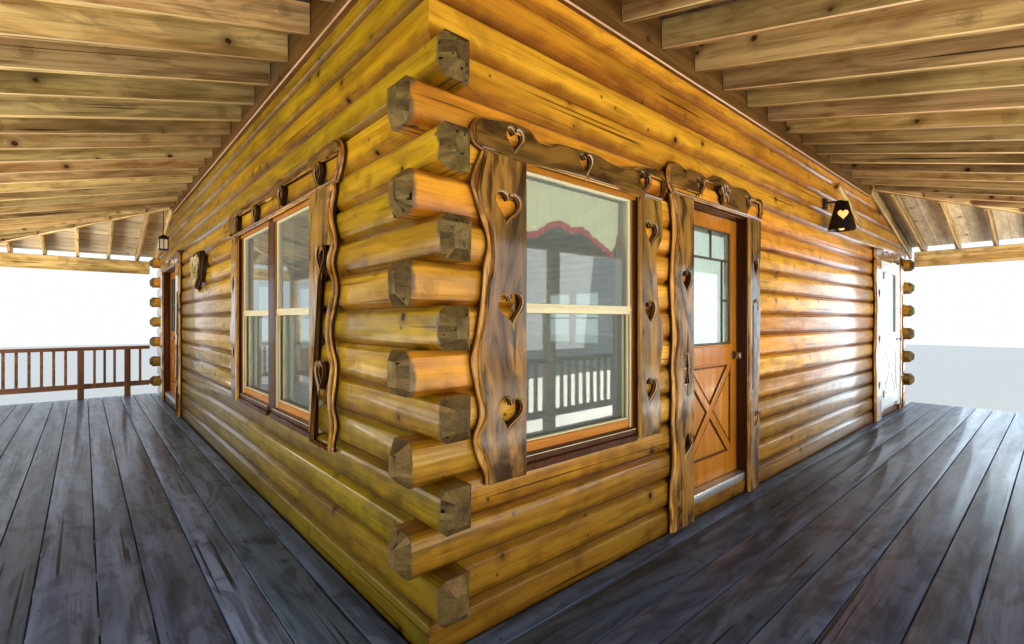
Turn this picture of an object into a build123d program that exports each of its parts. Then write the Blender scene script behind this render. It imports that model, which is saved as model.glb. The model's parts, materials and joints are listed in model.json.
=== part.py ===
from build123d import *
from collections import namedtuple
import math
import os

# A log cabin with a covered porch along its front and left walls, in millimetres, with +Z
# up and the ground at z = 0. The front wall faces -Y and the left wall faces -X.
# Each side is set out as if it were the front: X runs along the wall from its left end as
# seen from outside, Y runs inwards from the grooves between the logs, and Z is the height.

# Walls of milled logs, round outside and flat inside, lapped at the corners
house_width = 9000.0
house_depth = 9600.0
course = 184.0
wall_courses = 21
log_depth = 122.0
log_crown = 30.0
log_bevel = 25.5
log_end_reach = 155.0
first_lapped_course = 2
last_lapped_course = 14
fit_gap = 0.3

# Ground, foundation and floor
deck_height = 560.0
first_course_below_deck = 26.0
foundation_thickness = 200.0
foundation_setback = 10.0
floor_below_sill = 10.0
floor_thickness = 60.0
floor_joist_depth = 235.0
floor_joist_width = 45.0
floor_joist_spacing = 980.0

# Main roof over the two gables
roof_pitch = 2.0 / 3.0
roof_thickness = 70.0
roof_eave_reach = 450.0
roof_gable_reach = 500.0
purlin_width = 150.0
purlin_depth = 200.0
purlin_count = 2
ridge_cap_reach = 160.0
ridge_cap_thickness = 12.0

# Porch roof: rafters from a ledger on the wall down to a beam on posts, hipped at its ends
porch_width = 2440.0
porch_pitch = 0.25
ledger_height = 3010.0
ledger_depth = 286.0
ledger_thickness = 38.0
ledger_past_hip = 130.0
rafter_above_ledger_foot = 95.0
rafter_width = 42.0
rafter_depth = 184.0
rafter_spacing = 415.0
rafter_tail = 330.0
end_jack_start = {"front": 250.0, "left": 330.0}
hip_width = 60.0
porch_sheathing = 24.0
beam_width = 90.0
beam_depth = 235.0
post_width = 165.0
porch_bay_count = 4

# Deck, its frame and the steps
deck_board_thickness = 38.0
deck_edge_reach = 110.0
deck_right_reach = 450.0
deck_wall_gap = 35.0
deck_nosing = 20.0
deck_joist_width = 45.0
deck_joist_depth = 184.0
deck_joist_spacing = 610.0
pier_width = 240.0
pier_cap_edge = 30.0
pier_cap_height = 60.0
step_count = 3
step_run = 280.0
step_width = 1900.0
step_tread_thickness = 45.0
step_stringer_thickness = 60.0
step_stringer_inset = 120.0
step_nosing = 25.0
step_from_corner = 240.0

# Railings between the posts
rail_height = 915.0
rail_width = 110.0
rail_thickness = 60.0
lower_rail_height = 270.0
lower_rail_depth = 89.0
lower_rail_thickness = 38.0
baluster_size = 38.0
baluster_spacing = 150.0
rail_post_width = 89.0
rail_posts_from_wall = (480.0, 1120.0)

# Windows, with an upper pane and a lower sash in each unit
window_bottom_course = 4
window_top_course = 12
frame_thickness = 35.0
mullion_width = 120.0
sash_width = 48.0
sash_thickness = 35.0
glass_thickness = 6.0
sash_recess = -15.0
window_clear_width = 936.0
unit_clear_width = 870.0
front_window_from_corner = 443.0
left_window_from_corner = 1205.0
hidden_window_from_corner = 1500.0

# Slab casings round the openings, with one edge left as the tree grew
casing_thickness = 42.0
near_casing_width = 285.0
far_casing_width = 210.0
header_height = 185.0
header_past_casings = 20.0
casing_over_frame = 30.0
casing_below_window = 60.0
bark_swing = 11.0
bark_bay_count = 3
hidden_bark_bay_count = 1

# Doors
door_bottom_course = 1
door_notch = 60.0
leaf_width = 914.0
leaf_height = 2032.0
leaf_thickness = 44.0
leaf_recess = 45.0
leaf_gap = 5.0
stile_width = 115.0
top_rail = 110.0
glass_sill = 1035.0
panel_low = 180.0
panel_high = 870.0
panel_depth = 12.0
crossbuck_width = 62.0
white_frame_width = 140.0
white_leaf_forward = 62.0
pair_leaf_width = 800.0
meeting_gap = 8.0
front_door_from_corner = 2004.0
white_door_from_corner = 560.0
pair_door_from_far_corner = 1082.0
knob_height = 940.0
knob_setback = 62.0
knob_radius = 27.0
knob_length = 28.0
rose_radius = 33.0
rose_thickness = 8.0
stem_radius = 10.0
stem_length = 26.0
barrel_radius = 8.0
barrel_length = 100.0
barrel_inset = 180.0

# Lights and what hangs on the walls
lantern_from_corner = 4930.0
lantern_off_wall = 190.0
lantern_foot = 2340.0
lantern_height = 300.0
lantern_top_radius = 60.0
lantern_foot_radius = 135.0
lantern_wall = 6.0
bulb_radius = 38.0
arm_size = 18.0
backplate_size = 110.0
hang_off_wall = 170.0
hang_body_foot = 2450.0
hang_body_width = 120.0
hang_body_height = 190.0
hang_lid_width = 150.0
hang_lid_height = 55.0
hang_rod_size = 10.0
brace_width = 75.0
brace_thickness = 22.0
brace_low_end = (6350.0, 2590.0)
brace_high_end = (5400.0, 2930.0)
plaque_share_of_bare_wall = 0.458
plaque_height = 1880.0
plaque_size = 330.0
plaque_thickness = 30.0

Opening = namedtuple("Opening", "kind start width bottom top")

sides = ("front", "right", "back", "left")
porch_sides = ("front", "left")
side_length = {
    "front": house_width,
    "right": house_depth,
    "back": house_width,
    "left": house_depth,
}
side_place = {
    "front": Pos(-house_width / 2, -house_depth / 2, 0),
    "right": Pos(house_width / 2, -house_depth / 2, 0) * Rot(0, 0, 90),
    "back": Pos(house_width / 2, house_depth / 2, 0) * Rot(0, 0, 180),
    "left": Pos(-house_width / 2, house_depth / 2, 0) * Rot(0, 0, 270),
}

wall_base = deck_height - first_course_below_deck


def seam(number):
    """Height of the groove over a course."""
    return wall_base + number * course


wall_top = seam(wall_courses)
sill_top = seam(door_bottom_course)
door_bottom = sill_top - door_notch
leaf_bottom = sill_top + leaf_gap
door_head = leaf_bottom + leaf_height + leaf_gap + frame_thickness
window_bottom = seam(window_bottom_course)
window_top = seam(window_top_course)
floor_top = sill_top - floor_below_sill
door_width = leaf_width + 2 * (leaf_gap + frame_thickness)
white_door_width = leaf_width + 2 * (leaf_gap + white_frame_width)
pair_door_width = 2 * (pair_leaf_width + leaf_gap + frame_thickness) + meeting_gap
window_width = window_clear_width + 2 * frame_thickness
double_width = 2 * (unit_clear_width + frame_thickness) + mullion_width

front_window = Opening(
    "window", front_window_from_corner, window_width, window_bottom, window_top
)
front_door_opening = Opening(
    "door", front_door_from_corner, door_width, door_bottom, door_head
)
white_door_opening = Opening(
    "white_door",
    house_width - white_door_from_corner - white_door_width,
    white_door_width,
    door_bottom,
    door_head,
)
pair_opening = Opening(
    "pair_door",
    pair_door_from_far_corner,
    pair_door_width,
    door_bottom,
    door_head,
)
left_window = Opening(
    "double_window",
    house_depth - left_window_from_corner - double_width,
    double_width,
    window_bottom,
    window_top,
)


def hidden_windows(side):
    """A double window near each end of a side that isn't under the porch."""
    starts = (
        hidden_window_from_corner,
        side_length[side] - hidden_window_from_corner - double_width,
    )
    return [
        Opening("double_window", start, double_width, window_bottom, window_top)
        for start in starts
    ]


openings = {
    "front": [front_window, front_door_opening, white_door_opening],
    "right": hidden_windows("right"),
    "back": hidden_windows("back"),
    "left": [pair_opening, left_window],
}


def block(x0, x1, y0, y1, z0, z1):
    """A squared piece between two corners."""
    return Pos(x0, y0, z0) * Box(x1 - x0, y1 - y0, z1 - z0, align=(Align.MIN,) * 3)


def prism(points, z0, z1):
    """An upright piece whose plan is a list of points."""
    plan = make_face(Polyline(*points, close=True))
    return extrude(Pos(0, 0, z0) * plan, z1 - z0, dir=(0, 0, 1))


def slope_prism(points, x0, x1):
    """A piece along X whose outline is a list of (y, z) points."""
    plane = Plane(origin=(x0, 0, 0), x_dir=(0, 1, 0), z_dir=(1, 0, 0))
    outline = make_face(Polyline(*points, close=True))
    return extrude(plane * outline, x1 - x0, dir=(1, 0, 0))


def board(outline, y0, y1):
    """A piece with an outline drawn on the wall as edges or (x, z) points."""
    if not isinstance(outline, list):
        outline = [outline]
    plane = Plane(origin=(0, y1, 0), x_dir=(1, 0, 0), z_dir=(0, -1, 0))
    return extrude(plane * make_face(outline), y1 - y0, dir=(0, -1, 0))


def place(side, solids):
    return [side_place[side] * solid for solid in solids]


parts = {}


def keep(name, solids):
    parts.setdefault(name, []).extend(solids)


# Log walls

def log(x0, x1, z0):
    """One log from x0 to x1: flat inside, bevelled and crowned outside."""
    top = course - fit_gap
    flat = Polyline(
        (log_bevel, top - log_bevel),
        (0, top),
        (-log_depth, top),
        (-log_depth, 0),
        (0, 0),
        (log_bevel, log_bevel),
    )
    crown = ThreePointArc(
        (log_bevel, log_bevel), (log_crown, top / 2), (log_bevel, top - log_bevel)
    )
    plane = Plane(origin=(x0, 0, z0), x_dir=(0, -1, 0), z_dir=(-1, 0, 0))
    return extrude(plane * make_face([flat, crown]), x1 - x0, dir=(1, 0, 0))


def course_ends(side, number):
    """Where the log of a course starts and ends, and whether its corners are mitred."""
    length = side_length[side]
    if not first_lapped_course <= number <= last_lapped_course:
        return -log_crown, length + log_crown, True
    butt = log_depth + fit_gap
    if number % 2 == 0:
        return butt, length + log_end_reach, False
    return -log_end_reach, length - butt, False


def mitre_plan(side):
    """Plan of a wall whose ends are cut at 45 degrees."""
    length = side_length[side]
    return [
        (-log_crown + fit_gap, -log_crown),
        (length + log_crown - fit_gap, -log_crown),
        (length - log_depth - fit_gap, log_depth),
        (log_depth + fit_gap, log_depth),
    ]


def course_pieces(side, number):
    """The logs of one course, cut through or notched at the openings that it meets."""
    low = seam(number - 1)
    high = seam(number)
    start, end, mitred = course_ends(side, number)
    pieces = []
    cursor = start
    for gap in sorted(openings[side], key=lambda item: item.start):
        if gap.bottom > low + fit_gap or gap.top < high - fit_gap:
            continue
        pieces.append(log(cursor, gap.start, low))
        cursor = gap.start + gap.width
    pieces.append(log(cursor, end, low))
    for gap in openings[side]:
        hole = block(
            gap.start, gap.start + gap.width, -log_crown, log_depth, gap.bottom, gap.top
        )
        inside = (low + fit_gap < gap.bottom < high - fit_gap,
                  low + fit_gap < gap.top < high - fit_gap)
        if any(inside):
            pieces = [piece - hole for piece in pieces]
    if mitred:
        outline = prism(mitre_plan(side), low, high)
        pieces = [piece & outline for piece in pieces]
    return pieces


def wall_logs(side):
    """All the logs of a wall above its first course, with the courses they lie in."""
    return {number: course_pieces(side, number) for number in range(2, wall_courses + 1)}


door_middles = {
    "front": [item.start + item.width / 2 for item in (front_door_opening, white_door_opening)],
    "left": [pair_opening.start + pair_opening.width / 2],
}
stretch_names = {"front": ("left", "middle", "right"), "left": ("back", "front")}


def stretch_of(piece, side):
    """Which stretch of a wall with doors a log belongs to."""
    box = piece.bounding_box()
    middles = door_middles[side]
    if any(box.min.X < middle < box.max.X for middle in middles):
        return "head"
    passed = sum(box.min.X > middle for middle in middles)
    return stretch_names[side][passed]


for side in sides:
    keep("sill_logs", place(side, course_pieces(side, 1)))
    for pieces in wall_logs(side).values():
        for piece in pieces:
            name = side + "_wall"
            if side in door_middles:
                name += "_" + stretch_of(piece, side)
            keep(name, place(side, [piece]))

# Gables of shorter and shorter logs, notched over the purlins and the ridge beam

gable_base = wall_top
ridge_under = gable_base + (house_width / 2) * roof_pitch


def purlin_spots():
    """Distances from the ridge and top heights of the ridge beam and the purlins."""
    step = (house_width / 2) / (purlin_count + 1)
    spots = []
    for index in range(-purlin_count, purlin_count + 1):
        x = index * step
        top = ridge_under - (abs(x) + purlin_width / 2) * roof_pitch - fit_gap
        spots.append((x, top))
    return spots


def purlin(x, top, clearance):
    half = purlin_width / 2 + clearance
    reach = house_depth / 2 + roof_gable_reach
    return block(x - half, x + half, -reach, reach, top - purlin_depth - clearance,
                 top + clearance)


def gable_logs(side):
    """The logs of a gable, cut to the slope of the roof."""
    length = side_length[side]
    outline = Polyline(
        (fit_gap, gable_base),
        (length - fit_gap, gable_base),
        (length / 2, ridge_under - fit_gap),
        close=True,
    )
    cutter = board(outline, -log_crown, log_depth)
    pieces = []
    number = 0
    while gable_base + (number + 0.4) * course < ridge_under:
        low = gable_base + number * course
        inset = number * course / roof_pitch
        pieces.append(log(inset, length - inset, low) & cutter)
        number += 1
    return pieces


notches = [purlin(x, top, fit_gap) for x, top in purlin_spots()]
for side in ("front", "back"):
    for piece in place(side, gable_logs(side)):
        for notch in notches:
            low = notch.bounding_box().min.Z
            high = notch.bounding_box().max.Z
            box = piece.bounding_box()
            if box.min.Z < high and box.max.Z > low:
                piece = piece - notch
        keep(side + "_gable", [piece])
keep("purlins", [purlin(x, top, 0) for x, top in purlin_spots()])

# Foundation and floor

def mitred_band(start, end, near, far, z0, z1):
    """A band along a side between two distances off the wall, mitred at both ends."""
    points = [
        (start - far + fit_gap, -far),
        (end + far - fit_gap, -far),
        (end + near - fit_gap, -near),
        (start - near + fit_gap, -near),
    ]
    return prism(points, z0, z1)


for side in sides:
    keep("foundation", place(side, [mitred_band(
        0,
        side_length[side],
        -foundation_setback - foundation_thickness,
        -foundation_setback,
        0,
        wall_base - fit_gap,
    )]))
inside_x = house_width / 2 - log_depth - fit_gap
inside_y = house_depth / 2 - log_depth - fit_gap
keep("floor", [
    block(-inside_x, inside_x, -inside_y, inside_y, floor_top - floor_thickness, floor_top)
])
joist_reach = house_depth / 2 - foundation_setback - foundation_thickness - fit_gap
joist_top = floor_top - floor_thickness - fit_gap
joist_count = int((2 * inside_x - floor_joist_width) / floor_joist_spacing)
for index in range(joist_count + 1):
    x = (index - joist_count / 2) * floor_joist_spacing
    keep("floor_joists", [
        block(
            x - floor_joist_width / 2,
            x + floor_joist_width / 2,
            -joist_reach,
            joist_reach,
            joist_top - floor_joist_depth,
            joist_top,
        )
    ])

# Main roof

roof_plane = Plane(
    origin=(0, house_depth / 2 + roof_gable_reach, 0), x_dir=(1, 0, 0), z_dir=(0, -1, 0)
)
roof_length = house_depth + 2 * roof_gable_reach


def roof_piece(points):
    """A piece as long as the roof, from its outline as (x, height over the ridge line)."""
    raised = [(x, z + ridge_under) for x, z in points]
    return extrude(roof_plane * make_face(Polyline(*raised, close=True)), roof_length,
                   dir=(0, -1, 0))


eave_x = -house_width / 2 - roof_eave_reach
left_slab = roof_piece([
    (eave_x, eave_x * roof_pitch + fit_gap),
    (-fit_gap, fit_gap - fit_gap * roof_pitch),
    (-fit_gap, fit_gap - fit_gap * roof_pitch + roof_thickness),
    (eave_x, eave_x * roof_pitch + fit_gap + roof_thickness),
])
keep("main_roof_left", [left_slab])
keep("main_roof_right", [mirror(left_slab, Plane.YZ)])
cap_lift = roof_thickness + 2 * fit_gap
cap_drop = ridge_cap_reach * roof_pitch
keep("ridge_cap", [roof_piece([
    (-ridge_cap_reach, cap_lift - cap_drop),
    (0, cap_lift),
    (ridge_cap_reach, cap_lift - cap_drop),
    (ridge_cap_reach, cap_lift - cap_drop + ridge_cap_thickness),
    (0, cap_lift + ridge_cap_thickness),
    (-ridge_cap_reach, cap_lift - cap_drop + ridge_cap_thickness),
])])

# Porch roof. Each slope has a run along the wall where it reaches the ledger, between a
# hip over the near corner and a hip that starts on the wall. A short slope closes each end.

porch_run = {
    "front": (0.0, house_width - porch_width),
    "left": (porch_width, house_depth),
}
end_line = {"front": house_width, "left": 0.0}
end_turn = {"front": 1, "left": -1}
side_place["front_end"] = (
    Pos(house_width / 2 - porch_width, -house_depth / 2, 0) * Rot(0, 0, 90)
)
side_place["left_end"] = (
    Pos(-house_width / 2, house_depth / 2 - porch_width, 0) * Rot(0, 0, 180)
)

ledger_low = deck_height + ledger_height
rafter_seat = ledger_low + rafter_above_ledger_foot
rafter_rise = rafter_depth * math.hypot(1, porch_pitch)
wall_clear = log_crown + fit_gap
ledger_clear = wall_clear + ledger_thickness + fit_gap
eave_reach = porch_width + rafter_tail
hip_clear = (hip_width / 2) * math.sqrt(2) + rafter_width / 2 + 2 * fit_gap
beam_top = rafter_seat - porch_pitch * (porch_width + beam_width / 2) - fit_gap
beam_bottom = beam_top - beam_depth


def rafter(x, start):
    """A rafter square to the wall, from a distance off it to the eave."""
    def under(out):
        return rafter_seat - porch_pitch * out
    points = [
        (-start, under(start)),
        (-eave_reach, under(eave_reach)),
        (-eave_reach, under(eave_reach) + rafter_rise),
        (-start, under(start) + rafter_rise),
    ]
    return slope_prism(points, x - rafter_width / 2, x + rafter_width / 2)


def slope_rafters(side):
    """Rafters of a long slope, with shorter ones against the hips at both ends."""
    low, high = porch_run[side]
    count = int((side_length[side] + 2 * eave_reach) / rafter_spacing)
    solids = []
    for index in range(-count, count + 1):
        x = index * rafter_spacing
        if side == "left":
            x = house_depth - x
        past = max(low - x, x - high)
        start = max(ledger_clear, past + hip_clear)
        if start < eave_reach - 2 * rafter_width:
            solids.append(rafter(x, start))
    return solids


def top_of_log_ends(side):
    """Height of the log ends that reach out under the first rafter of an end."""
    parity = 1 if side == "front" else 0
    lapped = range(first_lapped_course, last_lapped_course + 1)
    return seam(max(number for number in lapped if number % 2 == parity))


def end_rafters(side):
    """Rafters of the short slope at an end, the first one laid against the wall."""
    turn = -end_turn[side]
    first = wall_clear + rafter_width / 2
    wall_rafter = rafter(turn * first, ledger_past_hip + ledger_clear)
    wall_rafter -= block(
        -log_end_reach,
        log_end_reach,
        -porch_width - log_crown - fit_gap,
        -porch_width + log_depth + fit_gap,
        0,
        top_of_log_ends(side) + fit_gap,
    )
    solids = [wall_rafter]
    out = end_jack_start[side]
    while out + hip_clear < eave_reach - 2 * rafter_width:
        solids.append(rafter(turn * out, out + hip_clear))
        out += rafter_spacing
    return solids


def hip_rafter(start):
    """A rafter along a hip, on the diagonal of its corner."""
    reach = eave_reach * math.sqrt(2) - hip_width / 2
    drop = porch_pitch / math.sqrt(2)
    rise = rafter_rise - drop * hip_width / 2 - fit_gap

    def under(out):
        return rafter_seat - drop * out
    points = [
        (-start, under(start)),
        (-reach, under(reach)),
        (-reach, under(reach) + rise),
        (-start, under(start) + rise),
    ]
    return Rot(0, 0, -45) * slope_prism(points, -hip_width / 2, hip_width / 2)


def slope_slab(side):
    """The boards of a long slope, mitred at both hips."""
    low, high = porch_run[side]
    return roof_boards(low - eave_reach, high + eave_reach) & mitred_band(
        low, high, ledger_clear, eave_reach, 0, wall_top
    )


def roof_boards(x0, x1):
    """A sloping slab over the rafters, before it is cut to its plan."""
    def top(out):
        return rafter_seat - porch_pitch * out + rafter_rise + fit_gap
    points = [
        (-wall_clear, top(wall_clear)),
        (-eave_reach, top(eave_reach)),
        (-eave_reach, top(eave_reach) + porch_sheathing),
        (-wall_clear, top(wall_clear) + porch_sheathing),
    ]
    return slope_prism(points, x0, x1)


def end_slab(side):
    """The boards of a short slope, a triangle between the wall and the hip."""
    turn = -end_turn[side]
    ledger_end = ledger_past_hip + fit_gap
    plan = prism(
        [
            (turn * wall_clear, -ledger_end),
            (turn * wall_clear, -eave_reach),
            (turn * (eave_reach - 2 * fit_gap), -eave_reach),
            (turn * ledger_clear, -ledger_clear - 2 * fit_gap),
            (turn * ledger_clear, -ledger_end),
        ],
        0,
        wall_top,
    )
    return roof_boards(-eave_reach, eave_reach) & plan


def corner_band(side, near, far, reach, z0, z1):
    """A band along a porch side, mitred at the near corner and square at its far end."""
    length = side_length[side]
    if side == "front":
        points = [
            (fit_gap - far, -far),
            (length + reach, -far),
            (length + reach, -near),
            (fit_gap - near, -near),
        ]
    else:
        points = [
            (-reach, -far),
            (length + far - fit_gap, -far),
            (length + near - fit_gap, -near),
            (-reach, -near),
        ]
    return prism(points, z0, z1)


def end_beam(side):
    """The beam from the log ends out to the main beam at an end of the porch."""
    x = end_line[side]
    far = porch_width - beam_width / 2 - fit_gap
    return block(x - beam_width / 2, x + beam_width / 2, -far, -log_end_reach - fit_gap,
                 beam_bottom, beam_top)


near_hip_start = ledger_clear * math.sqrt(2)
end_hip_start = near_hip_start + hip_width / 2
keep("hip_rafters", place("front", [hip_rafter(near_hip_start)]))
for side in porch_sides:
    end = side + "_end"
    keep("porch_rafters", place(side, slope_rafters(side)))
    keep("porch_rafters", place(end, end_rafters(side)))
    hip = hip_rafter(end_hip_start)
    if side == "front":
        hip = Pos(porch_run[side][1], 0, 0) * mirror(hip, Plane.YZ)
    else:
        hip = Pos(porch_run[side][0], 0, 0) * hip
    keep("hip_rafters", place(side, [hip]))
    keep("porch_ledgers", place(side, [corner_band(
        side,
        wall_clear,
        wall_clear + ledger_thickness,
        ledger_past_hip - porch_width,
        ledger_low,
        ledger_low + ledger_depth,
    )]))
    keep("porch_roof_" + side, place(side, [slope_slab(side)]))
    keep("porch_roof_ends", place(end, [end_slab(side)]))
    keep("porch_beams", place(side, [
        corner_band(
            side,
            porch_width - beam_width / 2,
            porch_width + beam_width / 2,
            beam_width / 2,
            beam_bottom,
            beam_top,
        ),
        end_beam(side),
    ]))


def post_spots(side):
    """Distances along a side of its posts, from the near corner to the far end."""
    start = -porch_width
    end = house_width
    if side == "left":
        start = house_depth + porch_width
        end = 0.0
    return [start + (end - start) * index / porch_bay_count for index in range(porch_bay_count + 1)]


def porch_post(x):
    """A hewn post with eight faces, standing on the deck."""
    plan = RegularPolygon(post_width / 2, 8, major_radius=False, rotation=180 / 8)
    height = beam_bottom - deck_height - 2 * fit_gap
    foot = Pos(x, -porch_width, deck_height + fit_gap)
    return extrude(foot * plan, height, dir=(0, 0, 1))


for side in porch_sides:
    spots = post_spots(side) if side == "front" else post_spots(side)[1:]
    keep("porch_posts", place(side, [porch_post(x) for x in spots]))

# Deck

deck_reach = porch_width + deck_edge_reach
deck_end_reach = {"front": deck_right_reach, "left": deck_edge_reach}
board_under = deck_height - deck_board_thickness - fit_gap
frame_low = board_under - deck_joist_depth
frame_near = -foundation_setback + fit_gap
ledger_far = frame_near + deck_joist_width
rim_far = deck_reach - deck_nosing
rim_near = rim_far - deck_joist_width


def deck_joists(side):
    """The rim, the ledger against the foundation and the joists between them."""
    reach = deck_end_reach[side] - deck_nosing
    solids = [
        corner_band(side, rim_near, rim_far, reach, frame_low, board_under),
        corner_band(side, frame_near, ledger_far, reach, frame_low, board_under),
    ]
    far_end = side_length[side] + reach if side == "front" else -reach
    inward = -1 if side == "front" else 1
    x = far_end + inward * deck_joist_width / 2
    near_corner = 0.0 if side == "front" else house_depth
    while abs(x - near_corner) > deck_joist_width:
        solids.append(block(
            x - deck_joist_width / 2,
            x + deck_joist_width / 2,
            -rim_near + fit_gap,
            -ledger_far - fit_gap,
            frame_low,
            board_under,
        ))
        x += inward * deck_joist_spacing
        if inward * (near_corner - x) < 0:
            break
    return solids


def corner_joist():
    """The joist under the mitre of the deck, from the foundation out to the rim."""
    half = deck_joist_width / 2
    start = (ledger_far + fit_gap) * math.sqrt(2)
    end = (rim_near - fit_gap) * math.sqrt(2) - half
    return Rot(0, 0, -45) * block(-half, half, -end, -start, frame_low, board_under)


def deck_pier(x):
    """A square pier under a post, with a wider cap."""
    half = pier_width / 2
    inner = half - pier_cap_edge
    y = -porch_width
    top = frame_low - fit_gap
    shaft = block(x - inner, x + inner, y - inner, y + inner, 0, top)
    cap = block(x - half, x + half, y - half, y + half, top - pier_cap_height, top)
    return shaft + cap


keep("deck_frame", place("front", [corner_joist()]))
for side in porch_sides:
    keep("deck_" + side, place(side, [corner_band(
        side,
        deck_wall_gap,
        deck_reach,
        deck_end_reach[side],
        deck_height - deck_board_thickness,
        deck_height,
    )]))
    keep("deck_frame", place(side, deck_joists(side)))
    spots = post_spots(side) if side == "front" else post_spots(side)[1:]
    keep("deck_piers", place(side, [deck_pier(x) for x in spots]))

# Steps at the right end of the front porch, against the end joist of the deck

step_rise = deck_height / step_count
step_base = deck_right_reach - deck_nosing + fit_gap
step_low = -porch_width + step_from_corner
for index in range(1, step_count):
    top = index * step_rise
    out = step_base + (step_count - index) * step_run
    keep("step_treads", place("right", [
        block(
            step_low,
            step_low + step_width,
            -out,
            -out + step_run - fit_gap,
            top - step_tread_thickness,
            top,
        )
    ]))


def step_stringer(x):
    """A cut stringer under the treads."""
    under = -step_tread_thickness - fit_gap
    points = [(-step_base, 0), (-step_base, (step_count - 1) * step_rise + under)]
    for index in range(step_count - 1, 0, -1):
        top = index * step_rise + under
        out = step_base + (step_count - index) * step_run - step_nosing
        foot = top - step_rise if index > 1 else 0
        points.append((-out, top))
        points.append((-out, foot))
    half = step_stringer_thickness / 2
    return slope_prism(points, x - half, x + half)


stringers = (step_stringer_inset, step_width / 2, step_width - step_stringer_inset)
keep("step_stringers", place("right", [step_stringer(step_low + x) for x in stringers]))

# Railings

def baluster_row(x0, x1):
    """The bottom rail and the balusters of a panel, up to the underside of its top rail."""
    y = -porch_width
    under = deck_height + rail_height - rail_thickness
    low = deck_height + lower_rail_height - lower_rail_depth
    thin = lower_rail_thickness / 2
    size = baluster_size / 2
    solids = block(x0, x1, y - thin, y + thin, low, low + lower_rail_depth)
    count = max(1, round((x1 - x0) / baluster_spacing) - 1)
    pitch = (x1 - x0) / (count + 1)
    for index in range(count):
        x = x0 + pitch * (index + 1)
        solids += block(x - size, x + size, y - size, y + size, low + lower_rail_depth, under)
    return solids


def top_rail_board(x0, x1):
    """The flat rail that caps a panel."""
    y = -porch_width
    top = deck_height + rail_height
    half = rail_width / 2
    return block(x0, x1, y - half, y + half, top - rail_thickness, top)


post_clear = post_width / 2 + fit_gap
for side in porch_sides:
    spots = sorted(post_spots(side))
    for x0, x1 in zip(spots, spots[1:]):
        panel = baluster_row(x0 + post_clear, x1 - post_clear)
        panel += top_rail_board(x0 + post_clear, x1 - post_clear)
        keep(side + "_railing", place(side, [panel]))

# The railing across the far end of the left porch, on two short posts

end_rail_stops = (log_end_reach + fit_gap, porch_width - post_clear)
rail_post_half = rail_post_width / 2
stops = [end_rail_stops[0]]
for x in rail_posts_from_wall:
    stops += [x - rail_post_half - fit_gap, x + rail_post_half + fit_gap]
    keep("end_rail_posts", place("left_end", [block(
        x - rail_post_half,
        x + rail_post_half,
        -porch_width - rail_post_half,
        -porch_width + rail_post_half,
        deck_height + fit_gap,
        deck_height + rail_height - rail_thickness - fit_gap,
    )]))
stops.append(end_rail_stops[1])
end_rail = top_rail_board(*end_rail_stops)
for x0, x1 in zip(stops[::2], stops[1::2]):
    end_rail += baluster_row(x0, x1)
keep("end_railing", place("left_end", [end_rail]))

# Windows

def window_units(gap):
    """The clear openings of a window's units, as (x0, x1)."""
    x0 = gap.start + frame_thickness
    x1 = gap.start + gap.width - frame_thickness
    if gap.kind == "window":
        return [(x0, x1)]
    middle = (x0 + x1) / 2
    half = mullion_width / 2
    return [(x0, middle - half), (middle + half, x1)]


def make_window(side, gap):
    """The lining of an opening, and an outer pane over an inner sash in each unit."""
    z0 = gap.bottom + frame_thickness
    z1 = gap.top - frame_thickness
    middle = (z0 + z1) / 2
    lining = block(
        gap.start + fit_gap, gap.start + gap.width - fit_gap, -log_crown, log_depth,
        gap.bottom + fit_gap, gap.top - fit_gap
    )
    for x0, x1 in window_units(gap):
        lining -= block(x0, x1, -log_crown, log_depth, z0, z1)
        inner_y = sash_recess + sash_thickness + fit_gap
        sashes = (
            (sash_recess, middle - sash_width / 2, z1 - fit_gap),
            (inner_y, z0 + fit_gap, middle + sash_width / 2),
        )
        for y, low, high in sashes:
            left = x0 + fit_gap
            right = x1 - fit_gap
            ring = block(left, right, y, y + sash_thickness, low, high)
            ring -= block(left + sash_width, right - sash_width, y, y + sash_thickness,
                          low + sash_width, high - sash_width)
            keep("window_sashes", place(side, [ring]))
            edge = sash_width + fit_gap
            pane_y = y + (sash_thickness - glass_thickness) / 2
            keep("window_glass", place(side, [block(
                left + edge, right - edge, pane_y, pane_y + glass_thickness,
                low + edge, high - edge
            )]))
    keep("window_frames", place(side, [lining]))


# Casings

def bark_edge(start, end, bay_count):
    """A natural edge from one point to another, as shallow arcs that swing both ways."""
    across = Vector(end[0] - start[0], end[1] - start[1])
    normal = Vector(-across.Y, across.X).normalized()
    arcs = []
    for index in range(bay_count):
        first = Vector(*start) + across * (index / bay_count)
        last = Vector(*start) + across * ((index + 1) / bay_count)
        swing = bark_swing if index % 2 == 0 else -bark_swing / 2
        arcs.append(ThreePointArc(first, (first + last) / 2 + normal * swing, last))
    return arcs


def slab(corners, bark_side, bay_count):
    """A casing slab from four corners in turn, with one of its sides a natural edge."""
    edges = []
    for index in range(4):
        start = corners[index]
        end = corners[(index + 1) % 4]
        if index == bark_side:
            edges += bark_edge(start, end, bay_count)
        else:
            edges.append(Line(start, end))
    front = -log_crown - fit_gap - casing_thickness
    return board(edges, front, front + casing_thickness)


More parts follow.
